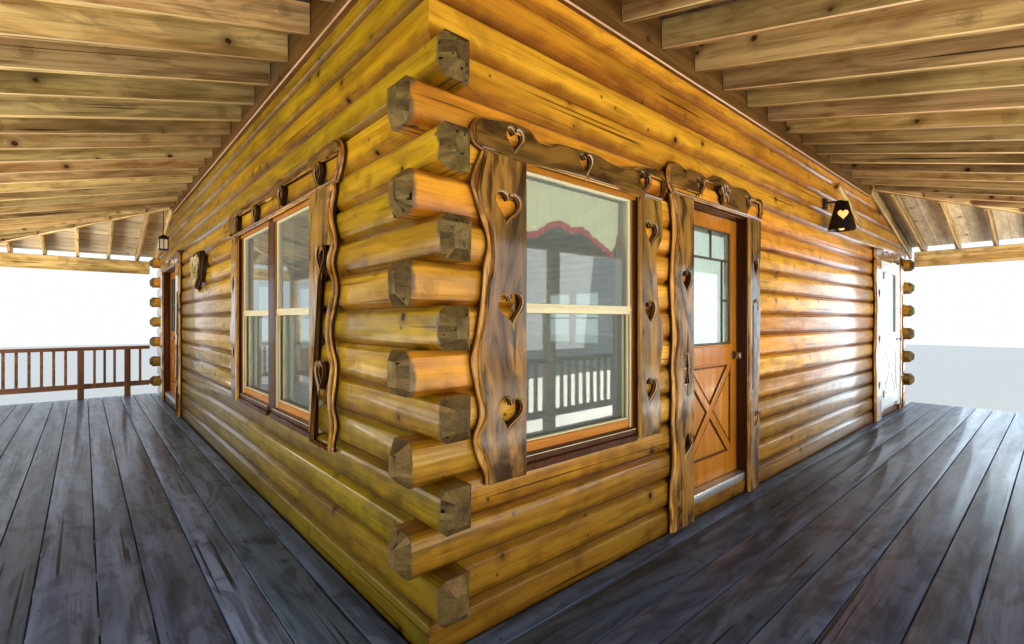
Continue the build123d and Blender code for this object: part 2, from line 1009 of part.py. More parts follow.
def casing_boards(gap, left_width, right_width, foot, over, bay_count):
    """Slab casings up both sides of an opening and a header slab across them."""
    inner0 = gap.start + over
    inner1 = gap.start + gap.width - over
    outer0 = inner0 - left_width
    outer1 = inner1 + right_width
    head = gap.top - over / 2
    under = head - fit_gap
    top = head + header_height
    past = header_past_casings
    return [
        slab([(outer0, under), (outer0, foot), (inner0, foot), (inner0, under)], 0,
             bay_count),
        slab([(outer1, foot), (outer1, under), (inner1, under), (inner1, foot)], 0,
             bay_count),
        slab([(outer1 + past, top), (outer0 - past, top), (outer0 - past, head),
              (outer1 + past, head)], 0, bay_count),
    ]


for side in sides:
    for gap in openings[side]:
        widths = (near_casing_width, far_casing_width)
        over = casing_over_frame
        bay_count = bark_bay_count if side in porch_sides else hidden_bark_bay_count
        if side == "left":
            widths = (far_casing_width, near_casing_width)
        if gap.kind == "white_door":
            over = -fit_gap
        if "window" in gap.kind:
            make_window(side, gap)
            foot = gap.bottom - casing_below_window
            name = "window_casings"
        else:
            foot = deck_height + fit_gap
            name = "door_casings"
        keep(name, place(side, casing_boards(gap, *widths, foot, over, bay_count)))

# Doors

def door_frame(side, gap, jamb, front, back):
    """Two jambs with the head between them, and the sill under the leaf."""
    x0 = gap.start + fit_gap
    x1 = gap.start + gap.width - fit_gap
    inner0 = gap.start + jamb
    inner1 = gap.start + gap.width - jamb
    head = gap.top - frame_thickness
    keep("door_frames", place(side, [
        block(x0, inner0, front, back, gap.bottom + fit_gap, gap.top - fit_gap),
        block(inner1, x1, front, back, gap.bottom + fit_gap, gap.top - fit_gap),
        block(inner0 + fit_gap, inner1 - fit_gap, front, back, head, gap.top - fit_gap),
    ]))
    keep("door_sills", place(side, [block(
        inner0 + fit_gap, inner1 - fit_gap, -log_crown, log_depth,
        gap.bottom + fit_gap, sill_top
    )]))


def door_leaf(x0, width, y0):
    """A leaf with a tall light over a sunk panel that a crossbuck divides."""
    x1 = x0 + width
    left = x0 + stile_width
    right = x1 - stile_width
    light_low = leaf_bottom + glass_sill
    light_high = leaf_bottom + leaf_height - top_rail
    leaf = block(x0, x1, y0, y0 + leaf_thickness, leaf_bottom, leaf_bottom + leaf_height)
    leaf -= block(left, right, y0, y0 + leaf_thickness, light_low, light_high)
    low = leaf_bottom + panel_low
    high = leaf_bottom + panel_high
    middle = ((left + right) / 2, (low + high) / 2)
    corners = [(left, low), (right, low), (right, high), (left, high)]
    for index in range(4):
        triangle = [corners[index], corners[(index + 1) % 4], middle]
        pocket = sunk_triangle(triangle, crossbuck_width / 2)
        leaf -= board(Polyline(*pocket, close=True), y0, y0 + panel_depth)
    pane_y = y0 + (leaf_thickness - glass_thickness) / 2
    pane = block(left + fit_gap, right - fit_gap, pane_y, pane_y + glass_thickness,
                 light_low + fit_gap, light_high - fit_gap)
    return leaf, pane


def sunk_triangle(points, margin):
    """A triangle whose two sides at its last point are moved in by a margin."""
    first, second, apex = [Vector(*point) for point in points]
    base = (second - first).normalized()
    to_first = (apex - first).normalized()
    to_second = (apex - second).normalized()
    slide_first = margin / abs(base.X * to_first.Y - base.Y * to_first.X)
    slide_second = margin / abs(base.X * to_second.Y - base.Y * to_second.X)
    new_first = first + base * slide_first
    new_second = second - base * slide_second
    scale = (new_second - new_first).length / (second - first).length
    foot = (first + second) / 2
    new_apex = (new_first + new_second) / 2 + (apex - foot) * scale
    return [(point.X, point.Y) for point in (new_first, new_second, new_apex)]


def knob(x, y, turn):
    """A knob with its rose and stem on one face of a leaf."""
    reach = 0.0
    solid = None
    stages = (
        (rose_radius, rose_thickness),
        (stem_radius, stem_length),
        (knob_radius, knob_length),
    )
    for radius, length in stages:
        stage = extrude(Pos(0, 0, reach) * RegularPolygon(radius, 8), length)
        solid = stage if solid is None else solid + stage
        reach += length
    return Pos(x, y, leaf_bottom + knob_height) * Rot(turn, 0, 0) * solid


def barrels(x, y):
    """Two hinges of two knuckles each: the lower ones fixed, the upper ones on the leaf."""
    fixed = []
    moving = []
    half = barrel_length / 2
    for z in (leaf_bottom + barrel_inset, leaf_bottom + leaf_height - barrel_inset):
        plan = Pos(x, y, z) * RegularPolygon(barrel_radius, 8, rotation=180 / 8)
        fixed.append(extrude(Pos(0, 0, -half) * plan, half - fit_gap, dir=(0, 0, 1)))
        moving.append(extrude(plan, half, dir=(0, 0, 1)))
    return fixed, moving


def hang_door(name, side, x0, width, y0, hinge_x, hinge_y, knob_x):
    """A leaf with its pane, its knuckles and its knobs."""
    leaf, pane = door_leaf(x0, width, y0)
    fixed, moving = barrels(hinge_x, hinge_y)
    keep(name, place(side, [leaf] + moving))
    keep(name + "_glass", place(side, [pane]))
    keep("door_hinges", place(side, fixed))
    if knob_x:
        outside = knob(knob_x, y0 - fit_gap, 90)
        inside = knob(knob_x, y0 + leaf_thickness + fit_gap, -90)
        keep(name, place(side, [outside, inside]))


barrel_stand = barrel_radius + fit_gap
leaf_back = leaf_recess + leaf_thickness
inner_hinge_y = leaf_back + barrel_stand
door_frame("front", front_door_opening, frame_thickness, -log_crown, leaf_back)
front_leaf_x = front_door_opening.start + frame_thickness + leaf_gap
hang_door(
    "front_door", "front", front_leaf_x, leaf_width, leaf_recess,
    front_leaf_x - leaf_gap / 2, inner_hinge_y, front_leaf_x + leaf_width - knob_setback
)

white_leaf_y = -white_leaf_forward
door_frame("front", white_door_opening, white_frame_width, white_leaf_y, log_depth)
white_leaf_x = white_door_opening.start + white_frame_width + leaf_gap
hang_door(
    "white_door", "front", white_leaf_x, leaf_width, white_leaf_y,
    white_leaf_x - leaf_gap / 2, white_leaf_y - barrel_stand,
    white_leaf_x + leaf_width - knob_setback
)

door_frame("left", pair_opening, frame_thickness, -log_crown, leaf_back)
back_leaf_x = pair_opening.start + frame_thickness + leaf_gap
front_leaf_of_pair_x = back_leaf_x + pair_leaf_width + meeting_gap
hang_door(
    "side_door_back", "left", back_leaf_x, pair_leaf_width, leaf_recess,
    back_leaf_x - leaf_gap / 2, inner_hinge_y, None
)
hang_door(
    "side_door_front", "left", front_leaf_of_pair_x, pair_leaf_width, leaf_recess,
    front_leaf_of_pair_x + pair_leaf_width + leaf_gap / 2, inner_hinge_y,
    front_leaf_of_pair_x + knob_setback
)

# A lantern on an arm, a brace beside it and a plaque on the left wall

def frustum(low_radius, high_radius, height, sides=8):
    """A frustum on the origin, drawn in evenly from one radius to the other."""
    draw = (low_radius - high_radius) * math.cos(math.pi / sides)
    taper = math.degrees(math.atan(draw / height))
    return extrude(RegularPolygon(low_radius, sides), height, taper=taper)


lantern_foot_z = deck_height + lantern_foot
shade = frustum(lantern_foot_radius, lantern_top_radius, lantern_height)
shade -= frustum(
    lantern_foot_radius - lantern_wall,
    lantern_top_radius - lantern_wall,
    lantern_height - lantern_wall,
)
shade = Pos(lantern_from_corner, -lantern_off_wall, lantern_foot_z) * shade
arm_z = lantern_foot_z + lantern_height + fit_gap
arm_half = arm_size / 2
arm_front = -lantern_off_wall - arm_half
arm = block(lantern_from_corner - arm_half, lantern_from_corner + arm_half, arm_front,
            -wall_clear - arm_size, arm_z, arm_z + arm_size)
plate_half = backplate_size / 2
arm += block(lantern_from_corner - plate_half, lantern_from_corner + plate_half,
             -wall_clear - arm_size, -wall_clear, arm_z - plate_half, arm_z + plate_half)
keep("bracket_light", place("front", [shade, arm]))
bulb = frustum(bulb_radius / 2, bulb_radius, bulb_radius)
bulb += Pos(0, 0, bulb_radius) * frustum(bulb_radius, bulb_radius / 2, bulb_radius)
stem_foot = 2 * bulb_radius
bulb += extrude(
    Pos(0, 0, stem_foot) * RegularPolygon(bulb_radius / 2, 8),
    lantern_height - lantern_wall - stem_foot - fit_gap,
)
keep("bracket_light_bulb", place("front", [
    Pos(lantern_from_corner, -lantern_off_wall, lantern_foot_z) * bulb
]))

# A smaller lantern hangs on a rod under the hip at the far end of the left porch

hang_rod_half = hang_rod_size / 2
hang_x = porch_run["left"][0] - hang_off_wall
hang_top_out = hang_off_wall * math.sqrt(2) + hang_rod_size
hang_top = rafter_seat - porch_pitch / math.sqrt(2) * hang_top_out - fit_gap
hang_body_top = deck_height + hang_body_foot + hang_body_height
hang_body_half = hang_body_width / 2
cage = block(
    hang_x - hang_body_half,
    hang_x + hang_body_half,
    -hang_off_wall - hang_body_half,
    -hang_off_wall + hang_body_half,
    deck_height + hang_body_foot,
    hang_body_top,
)
lid = Pos(hang_x, -hang_off_wall, hang_body_top) * Rot(0, 0, 45) * frustum(
    hang_lid_width / math.sqrt(2),
    hang_rod_size / math.sqrt(2),
    hang_lid_height,
    4,
)
rod = block(
    hang_x - hang_rod_half,
    hang_x + hang_rod_half,
    -hang_off_wall - hang_rod_half,
    -hang_off_wall + hang_rod_half,
    hang_body_top,
    hang_top,
)
keep("hanging_lantern", place("left", [cage + lid + rod]))

brace_run = Vector(
    brace_high_end[0] - brace_low_end[0], brace_high_end[1] - brace_low_end[1]
)
brace_side = Vector(-brace_run.Y, brace_run.X).normalized() * (brace_width / 2)
brace_ends = [Vector(x, z + deck_height) for x, z in (brace_low_end, brace_high_end)]
brace_corners = [
    brace_ends[0] - brace_side,
    brace_ends[0] + brace_side,
    brace_ends[1] + brace_side,
    brace_ends[1] - brace_side,
]
brace_outline = Polyline(*[(point.X, point.Y) for point in brace_corners], close=True)
keep("wall_brace", place("front", [
    board(brace_outline, -wall_clear - brace_thickness, -wall_clear)
]))

casing_reach = near_casing_width - casing_over_frame + header_past_casings
bare_wall_start = pair_opening.start + pair_opening.width + casing_reach
bare_wall_end = left_window.start + casing_over_frame - far_casing_width - header_past_casings
plaque_x = bare_wall_start + (bare_wall_end - bare_wall_start) * plaque_share_of_bare_wall
plaque_outline = Polyline(
    (plaque_x, plaque_height + deck_height - plaque_size / 2),
    (plaque_x + plaque_size / 2, plaque_height + deck_height),
    (plaque_x + plaque_size / 2, plaque_height + deck_height + plaque_size / 3),
    (plaque_x + plaque_size / 4, plaque_height + deck_height + plaque_size / 2),
    (plaque_x, plaque_height + deck_height + plaque_size / 3),
    (plaque_x - plaque_size / 4, plaque_height + deck_height + plaque_size / 2),
    (plaque_x - plaque_size / 2, plaque_height + deck_height + plaque_size / 3),
    (plaque_x - plaque_size / 2, plaque_height + deck_height),
    close=True,
)
keep("heart_plaque", place("left", [
    board(plaque_outline, -wall_clear - plaque_thickness, -wall_clear)
]))

# The origin lies on the ground at the middle of the box round the whole cabin

left_reach = house_width / 2 + eave_reach
right_reach = house_width / 2 + max(
    deck_right_reach - deck_nosing + fit_gap + (step_count - 1) * step_run,
    rafter_tail,
    deck_right_reach,
)
front_reach = house_depth / 2 + eave_reach
back_reach = house_depth / 2 + max(roof_gable_reach, rafter_tail, deck_edge_reach)
whole = Pos((left_reach - right_reach) / 2, (front_reach - back_reach) / 2, 0)

os.makedirs("parts", exist_ok=True)
for name, solids in parts.items():
    placed = [whole * solid for solid in solids]
    flat = [piece for item in placed for piece in item.solids()]
    export_step(Compound(children=flat), f"parts/{name}.step")
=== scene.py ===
import json
import math
import bpy
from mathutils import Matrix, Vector

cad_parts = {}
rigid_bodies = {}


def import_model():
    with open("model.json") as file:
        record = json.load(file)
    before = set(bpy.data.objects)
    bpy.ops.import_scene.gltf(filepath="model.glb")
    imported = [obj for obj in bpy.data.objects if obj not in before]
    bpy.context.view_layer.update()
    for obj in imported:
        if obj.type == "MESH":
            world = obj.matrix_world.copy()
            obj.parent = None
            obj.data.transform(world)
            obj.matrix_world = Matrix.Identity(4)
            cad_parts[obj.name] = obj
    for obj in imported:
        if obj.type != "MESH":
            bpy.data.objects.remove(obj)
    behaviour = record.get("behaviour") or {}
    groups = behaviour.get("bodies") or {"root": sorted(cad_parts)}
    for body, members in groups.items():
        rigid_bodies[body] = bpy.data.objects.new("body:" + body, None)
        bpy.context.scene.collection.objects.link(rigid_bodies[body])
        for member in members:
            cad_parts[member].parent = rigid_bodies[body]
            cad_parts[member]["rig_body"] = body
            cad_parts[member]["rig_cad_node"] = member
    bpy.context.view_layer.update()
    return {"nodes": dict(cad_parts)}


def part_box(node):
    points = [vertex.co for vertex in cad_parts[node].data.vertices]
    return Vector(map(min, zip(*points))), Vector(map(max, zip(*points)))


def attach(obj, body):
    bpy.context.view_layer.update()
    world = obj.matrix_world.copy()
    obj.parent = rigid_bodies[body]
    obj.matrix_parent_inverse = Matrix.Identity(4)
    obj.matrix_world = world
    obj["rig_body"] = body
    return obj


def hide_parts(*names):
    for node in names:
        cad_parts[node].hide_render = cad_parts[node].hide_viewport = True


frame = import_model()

# The ground is one wide pale floor, lit by the sky and by soft panels outside the open sides
# of the porch. The camera stands under the porch roof, off the near corner of the logs.
bpy.ops.object.select_all(action="DESELECT")
bpy.ops.mesh.primitive_plane_add(size=90, location=(0, 0, -0.002))
ground = bpy.context.object
ground.name = "pale_floor"
floor_paint = bpy.data.materials.new("pale_floor")
floor_paint.use_nodes = True
floor_shader = floor_paint.node_tree.nodes["Principled BSDF"]
floor_shader.inputs["Base Color"].default_value = (0.66, 0.67, 0.66, 1)
floor_shader.inputs["Roughness"].default_value = 0.9
ground.data.materials.append(floor_paint)

bpy.context.scene.view_settings.view_transform = "Standard"
sky = bpy.data.worlds.new("soft_sky")
sky.use_nodes = True
sky.node_tree.nodes["Background"].inputs["Color"].default_value = (0.86, 0.93, 1.0, 1)
sky.node_tree.nodes["Background"].inputs["Strength"].default_value = 1.15
bpy.context.scene.world = sky


def soft_panel(name, place, aim, width, height, power, tint):
    """A large soft light at a place, turned to a point."""
    bpy.ops.object.light_add(type="AREA", location=place)
    panel = bpy.context.object
    panel.name = name
    panel.data.shape = "RECTANGLE"
    panel.data.size = width
    panel.data.size_y = height
    panel.data.energy = power
    panel.data.color = tint
    panel.visible_camera = False
    run = [aim[i] - place[i] for i in range(3)]
    level = math.hypot(run[0], run[1])
    panel.rotation_euler = (math.atan2(level, -run[2]), 0, math.atan2(-run[0], run[1]))


soft_panel("front_panel", (1.5, -13.0, 3.0), (0.5, -3.7, 1.8), 13, 4, 470, (1.0, 0.98, 0.94))
soft_panel("left_panel", (-13.0, -0.5, 3.0), (-3.6, -1.0, 1.8), 13, 4, 380, (1.0, 0.98, 0.92))
soft_panel("front_bounce", (1.0, -7.9, 0.25), (1.0, -6.7, 3.2), 14, 2.6, 1000, (1.0, 0.93, 0.80))
soft_panel("left_bounce", (-7.9, 1.0, 0.25), (-6.7, 1.0, 3.2), 14, 2.6, 1080, (1.0, 0.93, 0.80))
soft_panel("end_panel", (9.5, -6.9, 1.8), (0.5, -5.6, 1.6), 6.0, 3.4, 180, (0.68, 0.86, 1.0))

bpy.ops.object.camera_add(
    location=(-4.68865, -5.3966, 1.9466),
    rotation=(math.radians(90), 0, math.radians(-41.42)),
)
camera = bpy.context.object
camera.name = "photo_camera"
camera.data.sensor_width = 36
camera.data.sensor_fit = "HORIZONTAL"
camera.data.lens = 17.06
camera.data.shift_y = -0.0017
camera.data.clip_start = 0.05
bpy.context.scene.camera = camera

# The walls are courses of milled logs, rounded outside, lapped at the corners and stained
# honey under a glossy coat. The log ends are hewn off with an axe and have gone grey.
foundation_low, foundation_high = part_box("foundation")
corner_x = foundation_low.x - 0.010
corner_y = foundation_low.y - 0.010
house_width = foundation_high.x - foundation_low.x + 0.020
house_depth = foundation_high.y - foundation_low.y + 0.020
deck_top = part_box("deck_front")[1].z
log_reach = 0.155
wall_base = deck_top - 0.026
course = 0.184
quarter = math.pi / 2


def take_up(piece):
    """Selects one piece and nothing else."""
    bpy.ops.object.select_all(action="DESELECT")
    piece.select_set(True)
    bpy.context.view_layer.objects.active = piece


def stand_alone(node, name):
    """A copy of a solid, with its faces made whole and no finish yet."""
    take_up(frame["nodes"][node])
    bpy.ops.object.duplicate()
    piece = bpy.context.object
    piece.name = name
    piece.data.name = name
    piece.parent = None
    piece.data.materials.clear()
    del piece["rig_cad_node"]
    del piece["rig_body"]
    bpy.ops.mesh.customdata_custom_splitnormals_clear()
    bpy.ops.object.mode_set(mode="EDIT")
    bpy.ops.mesh.select_mode(type="FACE")
    bpy.ops.mesh.select_all(action="SELECT")
    bpy.ops.mesh.remove_doubles(threshold=0.00005)
    bpy.ops.mesh.dissolve_limited(angle_limit=0.02)
    bpy.ops.mesh.select_all(action="DESELECT")
    bpy.ops.object.mode_set(mode="OBJECT")
    return piece


def ease_edges(piece, width, segments=2, angle=35, rim=-1):
    """Rounds the edges, in a finish of their own if rim says which, and smooths the rest."""
    take_up(piece)
    bevel = piece.modifiers.new("eased_edges", "BEVEL")
    bevel.width = width
    bevel.segments = segments
    bevel.limit_method = "ANGLE"
    bevel.angle_limit = math.radians(angle)
    bevel.material = rim
    bpy.ops.object.modifier_apply(modifier=bevel.name)
    bpy.ops.object.shade_smooth_by_angle(angle=math.radians(40))


def fit(piece, body, slot, *nodes):
    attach(piece, body)
    if nodes:
        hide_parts(*nodes)


def follow_grain(piece):
    """Keeps on each face where it lies along its own board, for slanting and mixed boards."""
    shape = piece.data
    place = shape.attributes.new("grain", "FLOAT_VECTOR", "CORNER")
    spots = [vertex.co.copy() for vertex in shape.vertices]
    for face in shape.polygons:
        a, b = max(face.edge_keys, key=lambda ends: (spots[ends[0]] - spots[ends[1]]).length)
        along = (spots[b] - spots[a]).normalized()
        if along[max(range(3), key=lambda i: abs(along[i]))] < 0:
            along.negate()
        upright = Vector((0, 0, 1)) if abs(along.z) < 0.8 else Vector((0, 1, 0))
        aside = along.cross(upright).normalized()
        over = aside.cross(along)
        for corner in face.loop_indices:
            spot = spots[shape.loops[corner].vertex_index]
            place.data[corner].vector = (spot.dot(along), spot.dot(aside), spot.dot(over))


class Finish:
    """A material, with short ways to add nodes to it and join them."""

    def __init__(self, name, made=None):
        self.material = made or bpy.data.materials.new(name)
        self.material.use_nodes = True
        self.tree = self.material.node_tree
        self.shader = self.tree.nodes["Principled BSDF"].inputs

    def feed(self, socket, value):
        if isinstance(value, bpy.types.NodeSocket):
            self.tree.links.new(value, socket)
        elif isinstance(value, tuple) and len(socket.default_value) == 4:
            socket.default_value = (*value, 1)
        else:
            socket.default_value = value

    def add(self, kind, inputs, **settings):
        """A node's outputs, from its settings and what goes into its sockets."""
        node = self.tree.nodes.new("ShaderNode" + kind)
        for key, value in settings.items():
            setattr(node, key, value)
        for socket, value in inputs.items():
            self.feed(node.inputs[socket], value)
        return node.outputs

    def look(self, **values):
        """Sets or joins the shader's own sockets: coat_weight is its Coat Weight."""
        for name, value in values.items():
            title = name.replace("_", " ").title().replace("Ior", "IOR")
            self.feed(self.shader[title], value)

    def spots(self):
        return self.add("TexCoord", {})["Object"]

    def calc(self, operation, first, second=0.0):
        return self.add("Math", {0: first, 1: second}, operation=operation)[0]

    def ramp(self, value, low, high, out_low=0.0, out_high=1.0, kind="SMOOTHSTEP"):
        return self.add("MapRange", {
            "Value": value, "From Min": low, "From Max": high, "To Min": out_low,
            "To Max": out_high}, interpolation_type=kind)["Result"]

    def blend(self, amount, first, second, kind="MIX"):
        return self.add("Mix", {"Factor": amount, 6: first, 7: second},
                        data_type="RGBA", blend_type=kind)[2]

    def noise(self, vector, scale, detail=2.0, twist=0.0):
        return self.add("TexNoise", {"Vector": vector, "Scale": scale, "Detail": detail,
                                     "Distortion": twist})

    def parts(self, vector):
        return self.add("SeparateXYZ", {0: vector})

    def bump(self, height, strength, distance):
        self.look(normal=self.add("Bump", {"Height": height, "Strength": strength,
                                           "Distance": distance})["Normal"])


def wood(name, run, pale, mid, dark, knots=0.0, checks=0.0, tone=0.2, rough=0.4, coat=0.0,
         ridge=0.3, stains=0.0, stain_colour=(0.03, 0.03, 0.02), seed=0.0, waves=0.0, figure=0.0):
    """Wood with a tone for each board, grained along X, Y, Z or, for "own", its own run."""
    finish = Finish(name)
    add, calc, ramp, blend = finish.add, finish.calc, finish.ramp, finish.blend
    turns = {"Y": (0, 0, -quarter), "Z": (0, quarter, 0)}
    if run == "own":
        place = add("Attribute", {}, attribute_name="grain")["Vector"]
    else:
        place = finish.spots()
    turned = add("Mapping", {"Vector": place, "Rotation": turns.get(run, (0, 0, 0)),
                             "Location": (seed, seed * 0.7, seed * 1.3)})[0]
    board = add("NewGeometry", {})["Random Per Island"]
    apart = add("CombineXYZ", {0: calc("MULTIPLY", board, 37.0), 1: calc("MULTIPLY", board, 11.0),
                               2: calc("MULTIPLY", board, 23.0)})[0]
    base = add("VectorMath", {0: turned, 1: apart}, operation="ADD")[0]

    def grained(scale, stretch, detail, twist=0.0):
        mapped = add("Mapping", {"Vector": base, "Scale": stretch})[0]
        return finish.noise(mapped, scale, detail, twist)["Fac"]

    from_knot = add("TexVoronoi", {"Vector": base, "Scale": 4.6})["Distance"]
    knot_core = ramp(from_knot, 0.07, 0.115, knots, 0.0)
    knot_halo = ramp(from_knot, 0.09, 0.30, knots, 0.0)
    rings = calc("SINE", calc("ADD", calc("MULTIPLY", grained(1.0, (0.35, 3.6, 3.6), 2.0), 62.0),
                              calc("MULTIPLY", knot_halo, 11.0)))
    fine = grained(1.0, (2.4, 95.0, 95.0), 2.0)
    streaks = grained(1.0, (0.7, 13.0, 13.0), 3.0)
    crack = calc("MULTIPLY", ramp(grained(1.0, (0.55, 34.0, 34.0), 1.0), 0.66, 0.69),
                 ramp(grained(0.9, (1.0, 2.0, 2.0), 0.0), 0.50, 0.60))

    colour = blend(ramp(streaks, 0.30, 0.72), pale, mid)
    colour = blend(ramp(rings, 0.55, 1.0, 0.0, 0.20), colour, dark)
    colour = blend(ramp(fine, 0.48, 0.75, 0.0, 0.45), colour, dark)
    if figure:
        burl = grained(2.6, (0.55, 1.9, 1.9), 3.0, 2.2)
        colour = blend(ramp(burl, 0.50, 0.62, 0.0, figure), colour, dark)
        colour = blend(ramp(burl, 0.36, 0.47, figure, 0.0), colour, pale)
    blotch = ramp(grained(1.6, (0.6, 2.2, 2.2), 3.0), 0.50, 0.72, 0.0, stains)
    colour = blend(blotch, colour, stain_colour)
    colour = blend(calc("MULTIPLY", knot_halo, 0.45), colour, dark)
    colour = blend(knot_core, colour, tuple(0.22 * part for part in dark))
    colour = blend(calc("MULTIPLY", crack, checks), colour, tuple(0.12 * part for part in dark))
    hue = ramp(calc("FRACT", calc("MULTIPLY", board, 7.0)), 0.0, 1.0, 0.5 - 0.03 * tone,
               0.5 + 0.03 * tone)
    colour = add("HueSaturation", {
        "Hue": hue, "Value": ramp(board, 0.0, 1.0, 1.0 - tone, 1.0 + tone), "Color": colour})[0]
    finish.look(base_color=colour, roughness=ramp(streaks, 0.2, 0.8, rough - 0.07, rough + 0.12),
                ior=1.22, coat_weight=coat, coat_roughness=0.12, coat_ior=1.28)
    height = streaks
    if waves:
        height = calc("ADD", streaks,
                      calc("MULTIPLY", grained(7.0, (0.7, 1.0, 1.0), 1.0), waves))
    finish.bump(height, ridge, 0.004)
    return finish.material


honey = dict(pale=(0.95, 0.46, 0.036), mid=(0.66, 0.265, 0.017), dark=(0.22, 0.065, 0.005))
# The end walls take a darker, greener copy of the honey stain: painted shade for the light that
# falls on them.
olive = dict(pale=(0.58, 0.345, 0.010), mid=(0.36, 0.195, 0.005), dark=(0.12, 0.055, 0.003))
log_look = dict(knots=1.0, checks=0.8, tone=0.22, rough=0.33, coat=0.7, ridge=0.4,
                figure=0.30, stains=0.42, stain_colour=(0.15, 0.070, 0.010))
hewn_look = dict(pale=(0.20, 0.130, 0.042), mid=(0.098, 0.062, 0.018), dark=(0.026, 0.016, 0.007),
                 knots=0.0, checks=1.0, tone=0.3, rough=0.55, ridge=0.6, figure=0.25,
                 stains=0.9, stain_colour=(0.040, 0.030, 0.012))
hewn_end = {run: wood("hewn_log_ends_" + run.lower(), run, **hewn_look) for run in "XY"}


def log_stain(name, run, colours, seed):
    """Stained log wood: darker into the grooves, with stain and painted shade, and in its lower
    courses, and grey at its ends.
    """
    finish = Finish(name, wood(name, run, **colours, **log_look, seed=seed))
    calc, ramp, blend = finish.calc, finish.ramp, finish.blend
    place = finish.spots()
    parts = finish.parts(place)
    wander = calc("SUBTRACT", finish.noise(place, 9.0)["Fac"], 0.5)
    risen = calc("DIVIDE", calc("SUBTRACT", parts["Z"], wall_base), course)
    within = calc("ADD", calc("FRACT", risen), calc("MULTIPLY", wander, 0.25))
    # Each log darkens into the grooves above and below it: stain pooled there, and painted shade.
    groove_stain_and_shade_low = ramp(within, 0.0, 0.40, 0.92, 0.0)
    groove_stain_and_shade_top = ramp(within, 0.80, 1.0, 0.0, 0.70)
    # The colour goes darker and greener towards the foot of the wall.
    weathered = ramp(calc("ADD", parts["Z"], wander), 0.75, 2.2, 0.90, 0.0)

    def from_middle(axis, half):
        low = corner_x if axis == "X" else corner_y
        return calc("ABSOLUTE", calc("SUBTRACT", parts[axis], low + half))

    half_x, half_y = house_width / 2, house_depth / 2
    length, depth, deep = (half_x, half_y, "Y") if run == "X" else (half_y, half_x, "X")
    out = calc("ADD", calc("SUBTRACT", from_middle(run, length), length),
               calc("MULTIPLY", wander, 0.10))
    grey = ramp(out, 0.085, 0.112, 0.0, 0.92)
    flecks = finish.add("TexVoronoi", {"Vector": place, "Scale": 7.5})["Distance"]
    pin_knots = ramp(flecks, 0.055, 0.10, 0.85, 0.0)
    # Two dark lines along the underside of each log stand for its tongue grooves: painted shadow.
    inside = calc("SUBTRACT", depth, from_middle(deep, depth))
    off_centre = calc("ABSOLUTE", calc("SUBTRACT", inside, 0.060))
    beside = calc("ABSOLUTE", calc("SUBTRACT", off_centre, 0.022))
    facing = finish.parts(finish.add("NewGeometry", {})["Normal"])
    painted_groove_shadow = calc("MULTIPLY", ramp(beside, 0.005, 0.008, 0.9, 0.0),
                  calc("LESS_THAN", facing["Z"], -0.9))
    colour = finish.shader["Base Color"].links[0].from_socket
    colour = blend(pin_knots, colour, (0.10, 0.055, 0.016))
    colour = blend(weathered, colour, (0.36, 0.44, 0.42), "MULTIPLY")
    colour = blend(groove_stain_and_shade_low, colour, (0.42, 0.30, 0.20), "MULTIPLY")
    colour = blend(groove_stain_and_shade_top, colour, (0.45, 0.34, 0.24), "MULTIPLY")
    colour = blend(grey, colour, (0.105, 0.074, 0.040))
    finish.look(base_color=blend(painted_groove_shadow, colour, (0.022, 0.012, 0.005)))
    return finish.material


# The front and back walls take the honey stain, and the left and right walls its olive copy, which
# is painted shade.
log_finish = {
    "front": log_stain("honey_logs", "X", honey, 0.0),
    "back": log_stain("honey_logs_back", "X", honey, 4.0),
    "left": log_stain("shaded_end_wall_logs", "Y", olive, 8.0),
    "right": log_stain("shaded_end_wall_logs_right", "Y", olive, 2.0),
}


def past_corners(spot, run):
    """How far a point lies out past the corners, along a log."""
    if run == "X":
        return max(corner_x - spot.x, spot.x - corner_x - house_width)
    return max(corner_y - spot.y, spot.y - corner_y - house_depth)


def hew_ends(piece, run):
    """Chops a slanting facet round each log end, more on some logs than on others."""
    axis = "XY".index(run)
    for part, cut in enumerate((0.040, 0.052, 0.046)):
        for face in piece.data.polygons:
            level = int(round((face.center.z - wall_base) / course - 0.5))
            at_end = abs(face.normal[axis]) > 0.99 and past_corners(face.center, run) > 0.14
            face.select = at_end and level % 3 == part
        if not any(face.select for face in piece.data.polygons):
            continue
        bpy.ops.object.mode_set(mode="EDIT")
        bpy.ops.mesh.bevel(offset=cut, segments=1, affect="EDGES")
        bpy.ops.mesh.select_all(action="DESELECT")
        bpy.ops.object.mode_set(mode="OBJECT")
    for face in piece.data.polygons:
        face.select = past_corners(face.center, run) > 0.128
    bpy.ops.object.mode_set(mode="EDIT")
    bpy.ops.transform.vertex_random(offset=0.004, uniform=0.0, normal=0.0, seed=5)
    bpy.ops.mesh.select_all(action="DESELECT")
    bpy.ops.object.mode_set(mode="OBJECT")


def log_wall(node, side):
    """One stack of logs in its stain, with the hewn end faces in a grey of their own."""
    run = "X" if side in ("front", "back") else "Y"
    wall = stand_alone(node, node + "_logs")
    hew_ends(wall, run)
    ease_edges(wall, 0.006, 2, 28)
    wall.data.materials.append(log_finish[side])
    wall.data.materials.append(hewn_end[run])
    for face in wall.data.polygons:
        if past_corners(face.center, run) > log_reach - 0.034:
            face.material_index = 1
            face.use_smooth = False
    fit(wall, "cabin", "log", node)
    return wall


for part in ("left", "middle", "right", "head"):
    log_wall("front_wall_" + part, "front")
for part in ("front", "head", "back"):
    log_wall("left_wall_" + part, "left")
log_wall("back_wall", "back")
log_wall("right_wall", "right")
log_wall("front_gable", "front")
log_wall("back_gable", "back")

# The first course is one ring of logs on the foundation, mitred at the corners, so its
# grain turns with the walls.


